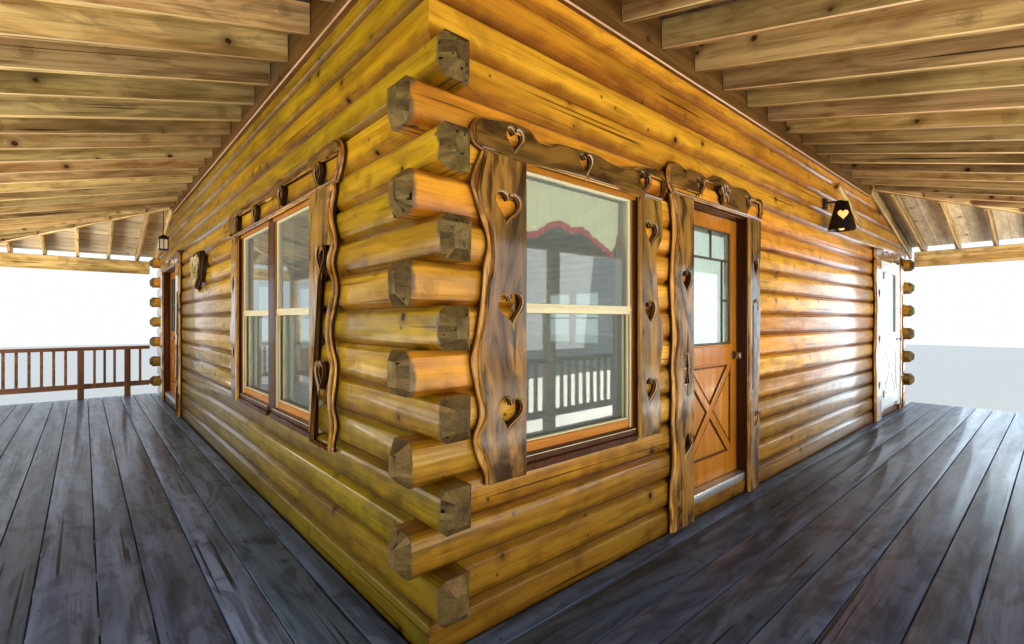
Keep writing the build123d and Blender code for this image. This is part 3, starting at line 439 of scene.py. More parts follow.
def dress(node, name, slot, finishes, width, segments=1, angle=35, rim=-1, grained=False,
          body="cabin"):
    """Stands for a solid in its finishes, with eased edges and, if grained, its own run."""
    piece = stand_alone(node, name)
    for finish in finishes:
        piece.data.materials.append(finish)
    ease_edges(piece, width, segments, angle, rim)
    if grained:
        follow_grain(piece)
    fit(piece, body, slot, node)
    return piece


def from_walls(spot):
    """How far a point lies in from the end walls, and from the front and back walls."""
    return (min(spot.x - corner_x, corner_x + house_width - spot.x),
            min(spot.y - corner_y, corner_y + house_depth - spot.y))


sills = dress("sill_logs", "sill_ring", "log", [log_finish["front"], log_finish["left"]], 0.009,
              2, 28)
for face in sills.data.polygons:
    inside_x, inside_y = from_walls(face.center)
    face.material_index = 1 if inside_x < inside_y else 0

# The foundation and the piers are laid in blocks of rough grey stone with pale joints. The
# piers have a wider cap under the deck frame.


def stonework(name):
    """Coursed blocks whose joints run on round the corners."""
    finish = Finish(name)
    place = finish.spots()
    parts = finish.parts(place)
    laid = finish.add("CombineXYZ", {0: finish.calc("ADD", parts["X"], parts["Y"]),
                                     1: parts["Z"]})[0]
    stones = finish.add("TexBrick", {
        "Vector": laid, "Scale": 1.0, "Brick Width": 0.42, "Row Height": 0.178,
        "Mortar Size": 0.009, "Color1": (0.21, 0.20, 0.18), "Color2": (0.13, 0.125, 0.12),
        "Mortar": (0.34, 0.33, 0.30)})["Color"]
    rough = finish.noise(place, 14.0, 6.0)
    finish.look(base_color=finish.blend(0.6, stones, rough["Color"], "OVERLAY"), roughness=0.85)
    finish.bump(rough["Fac"], 0.5, 0.02)
    return finish.material


stone = stonework("rough_stone")
for node in ("foundation", "deck_piers"):
    dress(node, node + "_stones", "masonry", [stone], 0.008, 2)

# Inside, the floor is boards on joists. The purlins and the ridge beam are squared timbers
# that rest in notches of the gable logs.
plain_timber = dict(pale=(0.52, 0.36, 0.19), mid=(0.36, 0.22, 0.10), dark=(0.15, 0.08, 0.03),
                    knots=0.8, checks=0.5, tone=0.18, rough=0.55)
floor_boards = wood("floor_boards", "Y", **plain_timber)
for node, slot in (("floor", "floor_wood"), ("floor_joists", "floor_wood"),
                   ("purlins", "rafter_wood")):
    dress(node, node + "_timbers", slot, [floor_boards], 0.004)

# The deck is thick planks of two widths laid side by side with narrow gaps, parallel to the
# walls and mitred at the near corner, stained slate and screwed down to the joists.
plank_gap = 0.007
plank_thickness = 0.038
plank_edges = [0.035, 0.155, 0.402, 0.592, 0.839, 1.030, 1.277, 1.468, 1.715, 1.906, 2.153,
               2.344, 2.55]
slate_look = dict(pale=(0.125, 0.172, 0.290), mid=(0.060, 0.083, 0.145),
                  dark=(0.015, 0.019, 0.029), knots=0.35, checks=0.9, tone=0.30, rough=0.42,
                  coat=0.25, ridge=0.6, figure=0.45, stains=0.5,
                  stain_colour=(0.052, 0.064, 0.086))
# The left planks take a lighter, bluer copy of the slate: painted reflection of the sky.
slate_with_painted_sky_sheen = dict(slate_look, pale=(0.21, 0.285, 0.46), mid=(0.105, 0.143, 0.235), seed=3.0)
deck_finish = {"front": wood("slate_planks", "X", **slate_look),
               "left": wood("slate_planks_left", "Y", **slate_with_painted_sky_sheen)}
screw_radius = 0.0055
screw_top = deck_top + 0.0006
first_joist, joist_step = 0.28, 0.61
screw_metal = Finish("screw_heads")
screw_metal.look(base_color=(0.016, 0.016, 0.018), metallic=0.6, roughness=0.5)


def block(name, low, high):
    """A squared piece between two corners, in edit shape."""
    bpy.ops.object.select_all(action="DESELECT")
    middle = [(a + b) / 2 for a, b in zip(low, high)]
    bpy.ops.mesh.primitive_cube_add(size=1, location=middle)
    piece = bpy.context.object
    piece.name = name
    piece.scale = [b - a for a, b in zip(low, high)]
    bpy.ops.object.transform_apply()
    return piece


def join(pieces, name):
    """Makes several pieces one, under one name."""
    bpy.ops.object.select_all(action="DESELECT")
    for piece in pieces:
        piece.select_set(True)
    bpy.context.view_layer.objects.active = pieces[0]
    if len(pieces) > 1:
        bpy.ops.object.join()
    joined = bpy.context.object
    joined.name = name
    joined.data.name = name
    return joined


def cut_mitre(keep):
    """Cuts the new plank on the diagonal of the near corner and keeps its own side."""
    bpy.ops.object.mode_set(mode="EDIT")
    bpy.ops.mesh.select_all(action="SELECT")
    bpy.ops.mesh.bisect(
        plane_co=(corner_x, corner_y, 0),
        plane_no=(1, -1, 0),
        use_fill=True,
        clear_inner=keep == "front",
        clear_outer=keep == "left",
    )
    bpy.ops.object.mode_set(mode="OBJECT")


def deck_planks(side):
    """The planks of one side, laid from the wall outwards."""
    low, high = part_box("deck_" + side)
    start, end = (low.x, high.x) if side == "front" else (low.y, high.y)
    corner = corner_x if side == "front" else corner_y
    planks = []
    for near, far in zip(plank_edges, plank_edges[1:]):
        first, under = max(start, corner - far), deck_top - plank_thickness
        if side == "front":
            plank = block("plank", (first, corner_y + plank_gap - far, under),
                          (end, corner_y - near, deck_top))
        else:
            plank = block("plank", (corner_x + plank_gap - far, first, under),
                          (corner_x - near, end, deck_top))
        cut_mitre(side)
        planks.append(plank)
    deck = join(planks, "deck_planks_" + side)
    ease_edges(deck, 0.004, 2, 35)
    deck.data.materials.append(deck_finish[side])
    fit(deck, "cabin", "deck_board", "deck_" + side)


deck_planks("front")
deck_planks("left")


def screw_rows(side):
    """Dark screw heads, two to a plank at each joist."""
    bpy.ops.object.select_all(action="DESELECT")
    bpy.ops.mesh.primitive_circle_add(vertices=6, radius=screw_radius, fill_type="NGON",
                                      location=(corner_x, corner_y - 0.09, screw_top))
    heads = bpy.context.object
    bpy.ops.object.transform_apply()
    bpy.ops.object.mode_set(mode="EDIT")
    for near, far in zip(plank_edges, plank_edges[1:]):
        for out in (near + 0.03, far - 0.037):
            for index in range(-4, 15):
                along = first_joist + joist_step * index
                if along < 0.05 - out:
                    continue
                spot = (corner_x + along, corner_y - out, screw_top)
                if side == "left":
                    spot = (corner_x - out, corner_y + along, screw_top)
                bpy.ops.mesh.primitive_circle_add(vertices=6, radius=screw_radius,
                                                  fill_type="NGON", location=spot)
    bpy.ops.object.mode_set(mode="OBJECT")
    heads.name = "deck_screws_" + side
    heads.data.materials.append(screw_metal.material)
    fit(heads, "cabin", "black_iron")


screw_rows("front")
screw_rows("left")


def dress_boards(node, name, slot, finish, width=0.004, segments=1, rim=None):
    """Eases the edges of a node's boards and stains each along its own run."""
    if rim:
        return dress(node, name, slot, [finish, rim], width, segments, rim=1, grained=True)
    return dress(node, name, slot, [finish], width, segments, grained=True)


# The deck stands on a rim, a ledger and joists of sawn timber, and the steps at its right
# end on three cut stringers. All are stained like the deck.
under_deck = wood("deck_timber", "own", **dict(
    slate_look, pale=(0.13, 0.14, 0.16), mid=(0.070, 0.076, 0.090)))
dress_boards("deck_frame", "deck_joists", "deck_board", under_deck)
dress_boards("step_treads", "treads", "deck_board", under_deck, 0.006, 2)
dress_boards("step_stringers", "stringers", "deck_board", under_deck)

# The porch roof is sawn rafters from a ledger on the wall down to beams on hewn posts, with
# hips at the corners. The wood is bare and weathered brown and gold.
rafter_look = dict(pale=(0.84, 0.62, 0.27), mid=(0.46, 0.27, 0.085), dark=(0.10, 0.040, 0.010),
                   knots=0.9, checks=0.9, tone=0.34, rough=0.5, ridge=0.9, figure=0.34,
                   stains=0.7, stain_colour=(0.14, 0.080, 0.026))
rafter_wood = wood("weathered_rafters", "own", **rafter_look)
# The arrises are paler than the faces: partly wear, partly painted highlight.
sheen_and_wear_arris = wood("sheen_and_wear_arrises", "own", (0.86, 0.68, 0.40), (0.70, 0.48, 0.22),
                  (0.42, 0.24, 0.09), tone=0.2, rough=0.5)
rafters = dress_boards("porch_rafters", "rafters", "rafter_wood", rafter_wood, 0.006, 1,
                       sheen_and_wear_arris)
# The front rafters take a darker copy of the rafter wood: painted shade.
shaded_rafters = wood("shaded_rafters", "own", **dict(
    rafter_look, pale=(0.60, 0.42, 0.18), mid=(0.30, 0.165, 0.052)))
rafters.data.materials.append(shaded_rafters)
for face in rafters.data.polygons:
    if face.material_index == 0 and face.center.y < corner_y and (
            face.center.x - corner_x > face.center.y - corner_y):
        face.material_index = 2
dress_boards("hip_rafters", "hips", "rafter_wood", rafter_wood, 0.006, 1, sheen_and_wear_arris)
dress_boards("porch_beams", "beams", "rafter_wood", rafter_wood, 0.005, 1, sheen_and_wear_arris)
dress_boards("porch_posts", "posts", "rafter_wood", rafter_wood, 0.010, 2)
ledger_wood = wood("ledger_wood", "own", (0.17, 0.085, 0.022), (0.085, 0.037, 0.008),
                   (0.04, 0.016, 0.005), knots=0.6, checks=0.5, tone=0.10, rough=0.40,
                   stains=0.6, stain_colour=(0.10, 0.07, 0.045))
# The ledgers' paler arrises are a painted highlight.
ledger_highlight_arris = wood("ledger_highlight_arrises", "own", (0.78, 0.50, 0.33), (0.52, 0.29, 0.16),
                    (0.22, 0.10, 0.05), tone=0.1, rough=0.4)
dress_boards("porch_ledgers", "ledgers", "rafter_wood", ledger_wood, 0.007, 1, ledger_highlight_arris)

# Boards lie over the rafters, pinkish cream below. Above them, and on the main roof, is
# painted sheet metal with standing seams that run down the slopes.
board_width = 0.14


def roof_boards(name, run, across, shade=1.0):
    """Bare boards below and metal above: the upper faces take the metal's colour."""
    # shade scales the board colours: painted shade where it is below one.
    pale, mid, dark = (tuple(shade * part for part in colour) for colour in (
        (0.74, 0.62, 0.44), (0.56, 0.44, 0.28), (0.24, 0.17, 0.09)))
    finish = Finish(name, wood(name, run, pale, mid, dark, knots=0.9, checks=0.3, tone=0.05,
                               rough=0.6))
    rows = finish.calc("MULTIPLY", finish.parts(finish.spots())[across], 1 / board_width)
    seam = finish.ramp(finish.calc("FRACT", rows), 0.0, 0.05, 0.25, 1.0, "LINEAR")
    chance = finish.add("TexWhiteNoise", {"W": finish.calc("FLOOR", rows)},
                        noise_dimensions="1D")["Value"]
    tone = finish.ramp(chance, 0.0, 1.0, 0.72, 1.12, "LINEAR")
    boards = finish.add("VectorMath", {
        0: finish.shader["Base Color"].links[0].from_socket,
        "Scale": finish.calc("MULTIPLY", seam, tone)}, operation="SCALE")[0]
    facing = finish.parts(finish.add("NewGeometry", {})["Normal"])
    upward = finish.calc("GREATER_THAN", facing["Z"], 0.3)
    finish.look(base_color=finish.blend(upward, boards, (0.10, 0.135, 0.12)))
    return finish.material


# The boards under the front and left of the porch roof are darkened, and the end boards kept pale:
# painted shade.
for node, run, across, tone in (("porch_roof_front", "X", "Y", 0.35),
                                ("porch_roof_left", "Y", "X", 0.35),
                                ("porch_roof_ends", "X", "Y", 1.1)):
    dress(node, node + "_boards", "sheathing",
          [roof_boards(node + "_boards", run, across, tone)], 0.003)
roof_metal = roof_boards("main_roof_metal", "Y", "X")
for node in ("main_roof_left", "main_roof_right", "ridge_cap"):
    dress(node, node + "_metal", "roofing", [roof_metal], 0.004)

# Standing seams are folded up where the roof sheets meet, and run down every slope. They are
# of the same painted metal as the sheets.
seam_metal = wood("seam_metal", "own", (0.13, 0.17, 0.15), (0.10, 0.135, 0.12),
                  (0.07, 0.09, 0.08), tone=0.05, rough=0.45, ridge=0.05)


seam_spacing = 0.41
seam_height = 0.024
seam_half = 0.009


def standing_seams(name):
    """Folds down each large upper face of a roof, at even steps along its eave."""
    slopes = bpy.data.objects[name]
    folds = []
    for face in slopes.data.polygons:
        if face.normal.z < 0.3 or face.area < 1.0:
            continue
        axis = 0 if abs(face.normal.y) > abs(face.normal.x) else 1
        aside = Vector([seam_half if i == axis else 0.0 for i in range(3)])
        corners = [slopes.data.vertices[i].co.copy() for i in face.vertices]
        up = face.normal * seam_height
        low = min(corner[axis] for corner in corners)
        high = max(corner[axis] for corner in corners)
        count = int((high - low - 0.1) / seam_spacing)
        margin = (high - low - count * seam_spacing) / 2
        for index in range(count + 1):
            place = low + margin + index * seam_spacing
            ends = []
            for a, b in zip(corners, corners[1:] + corners[:1]):
                if (a[axis] - place) * (b[axis] - place) < 0:
                    ends.append(a.lerp(b, (place - a[axis]) / (b[axis] - a[axis])))
            if len(ends) == 2 and (ends[0] - ends[1]).length > 0.2:
                folds.append((ends[0].lerp(ends[1], 0.01), ends[1].lerp(ends[0], 0.01), up, aside))
    seams = []
    for first, last, up, aside in folds:
        seam = block("seam", (0, 0, 0), (1, 1, 1))
        for vertex in seam.data.vertices:
            side, along, over = vertex.co
            spot = first.lerp(last, along) + aside * (2 * side - 1) + up * (1.2 * over - 0.2)
            vertex.co = spot
        bpy.ops.object.mode_set(mode="EDIT")
        bpy.ops.mesh.select_all(action="SELECT")
        bpy.ops.mesh.normals_make_consistent(inside=False)
        bpy.ops.object.mode_set(mode="OBJECT")
        seams.append(seam)
    seams = join(seams, name.replace("boards", "seams").replace("metal", "seams"))
    ease_edges(seams, 0.003, 1, 35)
    seams.data.materials.append(seam_metal)
    follow_grain(seams)
    fit(seams, "cabin", "roofing")


for name in ("main_roof_left_metal", "main_roof_right_metal", "porch_roof_front_boards",
             "porch_roof_left_boards", "porch_roof_ends_boards"):
    standing_seams(name)

# Railings of square balusters between a flat top rail and a lower rail run from post to
# post, stained brown.
rail_wood = wood("rail_wood", "own", (0.30, 0.15, 0.08), (0.17, 0.075, 0.035),
                 (0.06, 0.022, 0.010), knots=0.5, checks=0.6, tone=0.2, rough=0.42, stains=0.3)
# The rails' paler arrises are a painted highlight.
rail_highlight_arris = wood("rail_highlight_arrises", "own", (0.50, 0.30, 0.18), (0.34, 0.18, 0.10),
                  (0.16, 0.07, 0.03), tone=0.2, rough=0.45)
for node in ("front_railing", "left_railing", "end_railing", "end_rail_posts"):
    dress_boards(node, node + "_wood", "rail_wood", rail_wood, 0.003, 1, rail_highlight_arris)

# Slabs sawn through the whole trunk frame each opening. Their faces are dark glossy
# chestnut, their outer edges are left as the tree grew, and hearts are cut through them.
chestnut_look = dict(pale=(0.36, 0.185, 0.034), mid=(0.120, 0.062, 0.014),
                     dark=(0.030, 0.012, 0.004), knots=1.0, checks=0.9, tone=0.14, rough=0.17,
                     coat=1.0, ridge=0.8, stains=0.8, stain_colour=(0.060, 0.045, 0.014),
                     waves=5.0, figure=0.85)
sapwood_look = dict(pale=(0.80, 0.42, 0.085), mid=(0.40, 0.150, 0.026),
                    dark=(0.10, 0.034, 0.008), knots=1.0, checks=0.5, tone=0.1, rough=0.17,
                    coat=1.0, ridge=1.0, stains=0.6, stain_colour=(0.13, 0.055, 0.018),
                    waves=7.0, figure=0.8)
header_look = dict(chestnut_look, pale=(0.215, 0.100, 0.018), mid=(0.075, 0.036, 0.008))
slab_finish = {run: (wood("chestnut_" + run.lower(), run,
                          **(chestnut_look if run == "Z" else header_look)),
                     wood("sapwood_" + run.lower(), run, **sapwood_look)) for run in "XYZ"}
# Near-black wood for the sides of the slabs, the walls of the heart holes and the outer twigs of
# the woven heart: painted shadow.
painted_shadow_wood = wood("painted_shadow_wood", "own", (0.070, 0.030, 0.012), (0.036, 0.014, 0.006),
                 (0.010, 0.004, 0.002), rough=0.5, ridge=0.8)
# Pale cream on the sloping rims of the heart holes: a painted highlight.
heart_rim_highlight = wood("heart_rim_highlights", "own", (0.80, 0.58, 0.36), (0.60, 0.38, 0.19),
                  (0.30, 0.16, 0.07), rough=0.25, coat=0.8)
side_frame = {
    "front": (corner_x, corner_y, 0.0),
    "right": (corner_x + house_width, corner_y, quarter),
    "back": (corner_x + house_width, corner_y + house_depth, 2 * quarter),
    "left": (corner_x, corner_y + house_depth, -quarter),
}
log_crown = 0.030
slab_back = log_crown + 0.0003


def heart(x, z, width, height, lean=0.0):
    """The outline of a heart about its middle, leaning by an angle."""
    points = []
    for step in range(22):
        turn = 2 * math.pi * step / 22
        across = math.sin(turn) ** 3 * width / 2
        up = (13 * math.cos(turn) - 5 * math.cos(2 * turn) - 2 * math.cos(3 * turn)
              - math.cos(4 * turn) + 2.5) / 29 * height
        points.append((x + across * math.cos(lean) - up * math.sin(lean),
                       z + across * math.sin(lean) + up * math.cos(lean)))
    return points


def oval(x, z, width, height, lean=0.0):
    """The outline of an oval about its middle, leaning by an angle."""
    points = []
    for step in range(12):
        turn = 2 * math.pi * step / 12
        across, up = math.cos(turn) * width / 2, math.sin(turn) * height / 2
        points.append((x + across * math.cos(lean) - up * math.sin(lean),
                       z + across * math.sin(lean) + up * math.cos(lean)))
    return points


def sawn_slab(name, outline, cutouts, near, thickness, bevel):
    """A slab on the front wall from its outline, with holes cut through it."""
    bpy.ops.object.select_all(action="DESELECT")
    bpy.ops.curve.primitive_bezier_circle_add(radius=0.1, location=(0, 0, 0))
    piece = bpy.context.object
    shape = piece.data
    shape.dimensions = "2D"
    shape.fill_mode = "BOTH"
    shape.resolution_u = 5
    shape.extrude = thickness / 2 - bevel
    shape.bevel_depth = bevel
    shape.bevel_resolution = 1
    shape.offset = -bevel
    shape.splines.clear()
    edge = shape.splines.new("BEZIER")
    edge.bezier_points.add(len(outline) - 1)
    for point, (x, z, kind) in zip(edge.bezier_points, outline):
        point.co = (x, z, 0)
        point.handle_left_type = point.handle_right_type = kind
    edge.use_cyclic_u = True
    for cutout in cutouts:
        hole = shape.splines.new("POLY")
        hole.points.add(len(cutout) - 1)
        for point, (x, z) in zip(hole.points, cutout):
            point.co = (x, z, 0, 1)
        hole.use_cyclic_u = True
    bpy.ops.object.convert(target="MESH")
    piece = bpy.context.object
    piece.name = name
    piece.data.name = name
    piece.rotation_euler = (quarter, 0, 0)
    piece.location = (0, -near - thickness / 2, deck_top)
    bpy.ops.object.transform_apply()
    return piece


def set_on_side(piece, side):
    """Carries a piece made on the front wall round to its own side."""
    x, y, turn = side_frame[side]
    piece.rotation_euler = (0, 0, turn)
    piece.location = (x, y, 0)
    take_up(piece)
    bpy.ops.object.transform_apply()


def casing(name, side, outline, inset, cutouts, run):
    """One slab in two layers: pale sapwood behind, and the dark face set back from its rim."""
    bark = [(x, z, kind) for x, z, kind, _ in outline]
    face = [(x + dx * inset, z + dz * inset, kind)
            for x, z, kind, (dx, dz) in outline]
    back = sawn_slab(name + "_rim", bark, cutouts, slab_back, 0.028, 0.009)
    front = sawn_slab(name, face, cutouts, slab_back + 0.018, 0.026, 0.009)
    local_run = run
    if side in ("left", "right") and run == "X":
        local_run = "Y"
    chestnut, sapwood = slab_finish[local_run]
    hearts = [[sum(part) / len(cutout) for part in zip(*cutout)] for cutout in cutouts]
    for layer in (back, front):
        layer.data.materials.clear()
        for finish in (sapwood if layer is back else chestnut, sapwood, painted_shadow_wood, heart_rim_highlight):
            layer.data.materials.append(finish)
        for face in layer.data.polygons:
            spot = face.center
            carved = any(abs(spot.x - x) < 0.085 and abs(spot.z - deck_top - z) < 0.10
                         for x, z in hearts)
            # The sides of the back layer and the walls of the heart holes take the near-black
            # painted shadow.
            if face.normal.y > -0.35:
                face.material_index = 2 if layer is back or carved else 1
            # The sloping faces round the hearts on the front layer take the painted highlight.
            elif face.normal.y > -0.9:
                face.material_index = 3 if carved and layer is front else 1
    slab = join([front, back], name)
    set_on_side(slab, side)
    bpy.ops.object.shade_smooth_by_angle(angle=math.radians(45))
    return slab


def upright(outer, inner_x, foot, top):
    """A casing's outline: its live edge down one side and its sawn edge up the other."""
    away = -1 if outer[0][0] < inner_x else 1
    swell = (0.9, 1.4, 0.7, 1.2, 0.5, 1.5, 0.8, 1.1)
    points = [(outer[0][0], top, "VECTOR", (-away * 0.6, 0))]
    for number, (x, z) in enumerate(outer):
        if foot + 0.03 < z < top - 0.03:
            points.append((x, z, "AUTO", (-away * swell[number % 8], 0)))
    points.append((outer[-1][0], foot, "VECTOR", (-away * 0.7, 0)))
    points.append((inner_x, foot, "VECTOR", (0, 0)))
    points.append((inner_x, top, "VECTOR", (0, 0)))
    return points


def lintel(top, left, right, under):
    """A header's outline: its live edge over its sawn underside."""
    swell = (0.8, 0.4, 1.2, 0.6, 1.0)
    points = [(*left[0], "AUTO", (0.8, 0)), (*left[1], "AUTO", (0.6, 0.2))]
    for number, (x, z) in enumerate(top):
        points.append((x, z, "AUTO", (0, -swell[number % 5])))
    points += [(x, z, "AUTO", (-0.8, 0)) for x, z in right]
    points.append((right[-1][0] - 0.03, under, "VECTOR", (0, 0.5)))
    points.append((left[0][0] + 0.05, under, "VECTOR", (0, 0.5)))
    return points


window_lintel = 2.132
window_slabs = [
    casing("front_window_left_casing", "front", upright(
        [(0.226, 2.13), (0.171, 1.981), (0.184, 1.933), (0.222, 1.838), (0.261, 1.73),
         (0.242, 1.635), (0.232, 1.521), (0.209, 1.378), (0.184, 1.267), (0.171, 1.217),
         (0.196, 1.084), (0.216, 0.97), (0.184, 0.873), (0.203, 0.789), (0.245, 0.70)],
        0.480, 0.66, window_lintel), 0.022,
        [heart(0.364, 1.895, 0.150, 0.135, -0.1), heart(0.386, 1.437, 0.150, 0.140, 0.12),
         heart(0.379, 0.959, 0.150, 0.145, -0.22)], "Z"),
    casing("front_window_right_casing", "front", upright(
        [(1.646, 2.13), (1.665, 2.013), (1.657, 1.908), (1.597, 1.784), (1.597, 1.638),
         (1.638, 1.448), (1.673, 1.285), (1.646, 1.137), (1.624, 1.006), (1.651, 0.855),
         (1.638, 0.68)],
        1.414, 0.68, window_lintel), 0.016,
        [heart(1.524, 1.915, 0.135, 0.140, -0.1), heart(1.519, 1.432, 0.120, 0.140, 0.1),
         heart(1.519, 0.957, 0.120, 0.140, -0.2)], "Z"),
    casing("front_window_header", "front", lintel(
        [(0.268, 2.282), (0.489, 2.291), (0.583, 2.253), (0.734, 2.278), (0.842, 2.282),
         (0.996, 2.291), (1.164, 2.263), (1.346, 2.290), (1.493, 2.322)],
        [(0.171, 2.162), (0.182, 2.250)], [(1.679, 2.300), (1.701, 2.227), (1.672, 2.165)],
        window_lintel), 0.014,
        [heart(0.407, 2.210, 0.105, 0.110), heart(0.914, 2.207, 0.105, 0.110, 0.1),
         heart(1.455, 2.215, 0.110, 0.115, -0.15)], "X"),
]
window_casings = join(window_slabs, "front_window_casings")

# The door's casings reach down to the deck. A pine and a cane are cut through them besides
# the hearts, and a paw print through the header.


def pine(x, z, width, height):
    """A pine tree of four tiers over a short trunk."""
    tiers = ((0.0, 1.0), (0.5, 0.72), (0.22, 0.72), (0.78, 0.47), (0.38, 0.47),
             (1.0, 0.2), (0.14, 0.2), (0.14, 0.0))
    right = [(x + width / 2 * out, z - height / 2 + height * up) for out, up in tiers]
    return right + [(2 * x - a, b) for a, b in reversed(right[1:])]


def cane(x, z, width, height):
    """A walking cane with a hooked top."""
    bar = 0.016
    foot, top = z - height / 2, z + height / 2
    tip = top - width * 0.75
    hook, inner = ([(x + radius * math.cos(math.pi * step / 8),
                     top - width / 2 + radius * math.sin(math.pi * step / 8))
                    for step in range(9)] for radius in (width / 2, width / 2 - bar))
    return ([(hook[0][0], tip)] + hook + [(hook[-1][0], foot), (inner[-1][0], foot)]
            + inner[::-1] + [(inner[0][0], tip)])


def paw(x, z):
    """A paw print: a pad and four toes."""
    return [oval(x, z - 0.03, 0.085, 0.066)] + [
        oval(x + dx, z + dz, 0.026, 0.044, lean)
        for dx, dz, lean in ((-0.056, 0.020, 0.35), (-0.020, 0.046, 0.1),
                             (0.020, 0.046, -0.1), (0.056, 0.020, -0.35))]


door_lintel = 2.214
door_slabs = [
    casing("front_door_left_casing", "front", upright(
        [(1.757, 2.2), (1.801, 1.993), (1.787, 1.805), (1.772, 1.588), (1.787, 1.465),
         (1.801, 1.279), (1.787, 1.109), (1.795, 0.907), (1.787, 0.707), (1.801, 0.441),
         (1.772, 0.293), (1.772, 0.046)],
        2.045, 0.004, door_lintel), 0.03,
        [heart(1.953, 1.644, 0.125, 0.150), pine(1.955, 1.083, 0.075, 0.40),
         heart(1.963, 0.544, 0.105, 0.160, -0.45)], "Z"),
    casing("front_door_right_casing", "front", upright(
        [(3.167, 2.2), (3.177, 1.968), (3.143, 1.726), (3.167, 1.488), (3.143, 1.249),
         (3.158, 0.969), (3.119, 0.754), (3.158, 0.511), (3.129, 0.277), (3.119, 0.01)],
        2.940, 0.004, door_lintel), 0.02,
        [heart(3.06, 1.813, 0.105, 0.140), cane(3.04, 1.19, 0.105, 0.74),
         heart(3.055, 0.561, 0.090, 0.150, -0.3)], "Z"),
    casing("front_door_header", "front", lintel(
        [(1.80, 2.425), (1.953, 2.397), (2.116, 2.428), (2.253, 2.396), (2.436, 2.452),
         (2.673, 2.416), (2.844, 2.432), (3.024, 2.392), (3.15, 2.402)],
        [(1.742, 2.26), (1.738, 2.38)], [(3.192, 2.381), (3.207, 2.30), (3.19, 2.25)],
        door_lintel), 0.014,
        [heart(2.142, 2.320, 0.105, 0.105, 0.1), heart(2.90, 2.315, 0.105, 0.105, -0.2)]
        + paw(2.521, 2.325), "X"),
]

# Other openings have the same slabs: two uprights and a header, each cut from its own trunk
# and laid flat against the logs.
bark_wave = ((1.0, 0.010), (0.91, -0.024), (0.80, 0.016), (0.71, 0.040), (0.60, 0.018),
             (0.50, -0.004), (0.40, -0.030), (0.30, -0.010), (0.20, 0.008), (0.11, -0.022),
             (0.03, 0.012))


def standard_casings(name, side, x0, x1, foot, under, widths, hearts=2):
    """Casings for an opening from x0 to x1, with their hearts spaced up the uprights."""
    span = under - foot
    outer0 = x0 - widths[0]
    outer1 = x1 + widths[1]
    left = [(outer0 + shift, foot + span * up) for up, shift in bark_wave]
    right = [(outer1 - shift * 0.7, foot + span * min(1.0, up + 0.05)) for up, shift in bark_wave]
    rows = [foot + span * (index + 0.75) / (hearts + 0.5) for index in range(hearts)]
    wide = x1 - x0
    top = [(x0 - 0.02 + wide * share, under + 0.150 + lift)
           for share, lift in ((-0.08, 0.0), (0.08, 0.018), (0.22, -0.012), (0.38, 0.014),
                               (0.52, -0.004), (0.66, 0.020), (0.80, 0.0), (0.95, 0.022))]
    return [
        casing(name + "_left_casing", side, upright(left, x0, foot, under), 0.018,
               [heart((outer0 + x0) / 2 + 0.015, row, 0.115, 0.125, 0.1) for row in rows], "Z"),
        casing(name + "_right_casing", side, upright(right, x1, foot, under), 0.016,
               [heart((outer1 + x1) / 2 - 0.01, row, 0.090, 0.115, -0.1) for row in rows], "Z"),
        casing(name + "_header", side, lintel(
            top, [(outer0 - 0.015, under + 0.03), (outer0 - 0.02, under + 0.12)],
            [(outer1 + 0.02, under + 0.15), (outer1 + 0.022, under + 0.09),
             (outer1 + 0.015, under + 0.03)], under), 0.012,
            [heart(x0 + wide * share, under + 0.082, 0.085, 0.095, lean)
             for share, lean in ((0.06, 0.1), (0.5, -0.1), (0.94, 0.1))], "X"),
    ]


near_side = house_depth
window_slabs = [window_casings] + [
    casing("left_window_near_casing", "left", upright(
        [(near_side - s, z) for s, z in (
            (0.886, 2.10), (0.93, 1.982), (0.872, 1.796), (0.915, 1.712), (0.858, 1.575),
            (0.886, 1.466), (0.945, 1.355), (0.93, 1.255), (0.872, 1.147), (0.886, 1.035),
            (0.915, 0.921), (0.872, 0.817), (0.915, 0.70))],
        near_side - 1.240, 0.66, window_lintel), 0.026,
        [heart(near_side - 1.075, 1.732, 0.120, 0.150),
         heart(near_side - 1.085, 1.068, 0.115, 0.155)], "Z"),
    casing("left_window_far_casing", "left", upright(
        [(near_side - s, z) for s, z in (
            (3.267, 2.11), (3.308, 1.821), (3.267, 1.521), (3.34, 1.259), (3.267, 1.075),
            (3.308, 0.886), (3.267, 0.70))],
        near_side - 3.100, 0.68, window_lintel), 0.014,
        [heart(near_side - 3.20, 1.695, 0.095, 0.150),
         heart(near_side - 3.20, 1.077, 0.095, 0.150)], "Z"),
    casing("left_window_header", "left", lintel(
        [(near_side - s, z) for s, z in (
            (3.30, 2.362), (3.032, 2.352), (2.746, 2.322), (2.427, 2.335), (2.144, 2.298),
            (2.014, 2.329), (1.891, 2.365), (1.664, 2.350), (1.458, 2.345), (1.289, 2.322),
            (1.236, 2.372), (1.101, 2.363), (0.945, 2.378), (0.84, 2.362))],
        [(near_side - 3.365, 2.17), (near_side - 3.372, 2.31)],
        [(near_side - 0.774, 2.298), (near_side - 0.785, 2.227), (near_side - 0.82, 2.165)],
        window_lintel), 0.014,
        [heart(near_side - s, z, 0.090, 0.115, 0.08) for s, z in (
            (1.118, 2.226), (1.821, 2.235), (2.507, 2.222), (3.108, 2.235))], "X"),
]
window_span = 1.930
unit_edge = 0.030
window_foot = 0.650
window_head = 2.150
from_corner = 1.500
for side, length in (("right", house_depth), ("back", house_width)):
    for index, start in enumerate((from_corner, length - from_corner - window_span)):
        window_slabs += standard_casings(
            "{}_window_{}".format(side, index + 1), side, start + unit_edge,
            start + window_span - unit_edge, window_foot, window_head, (0.285, 0.210), 2)
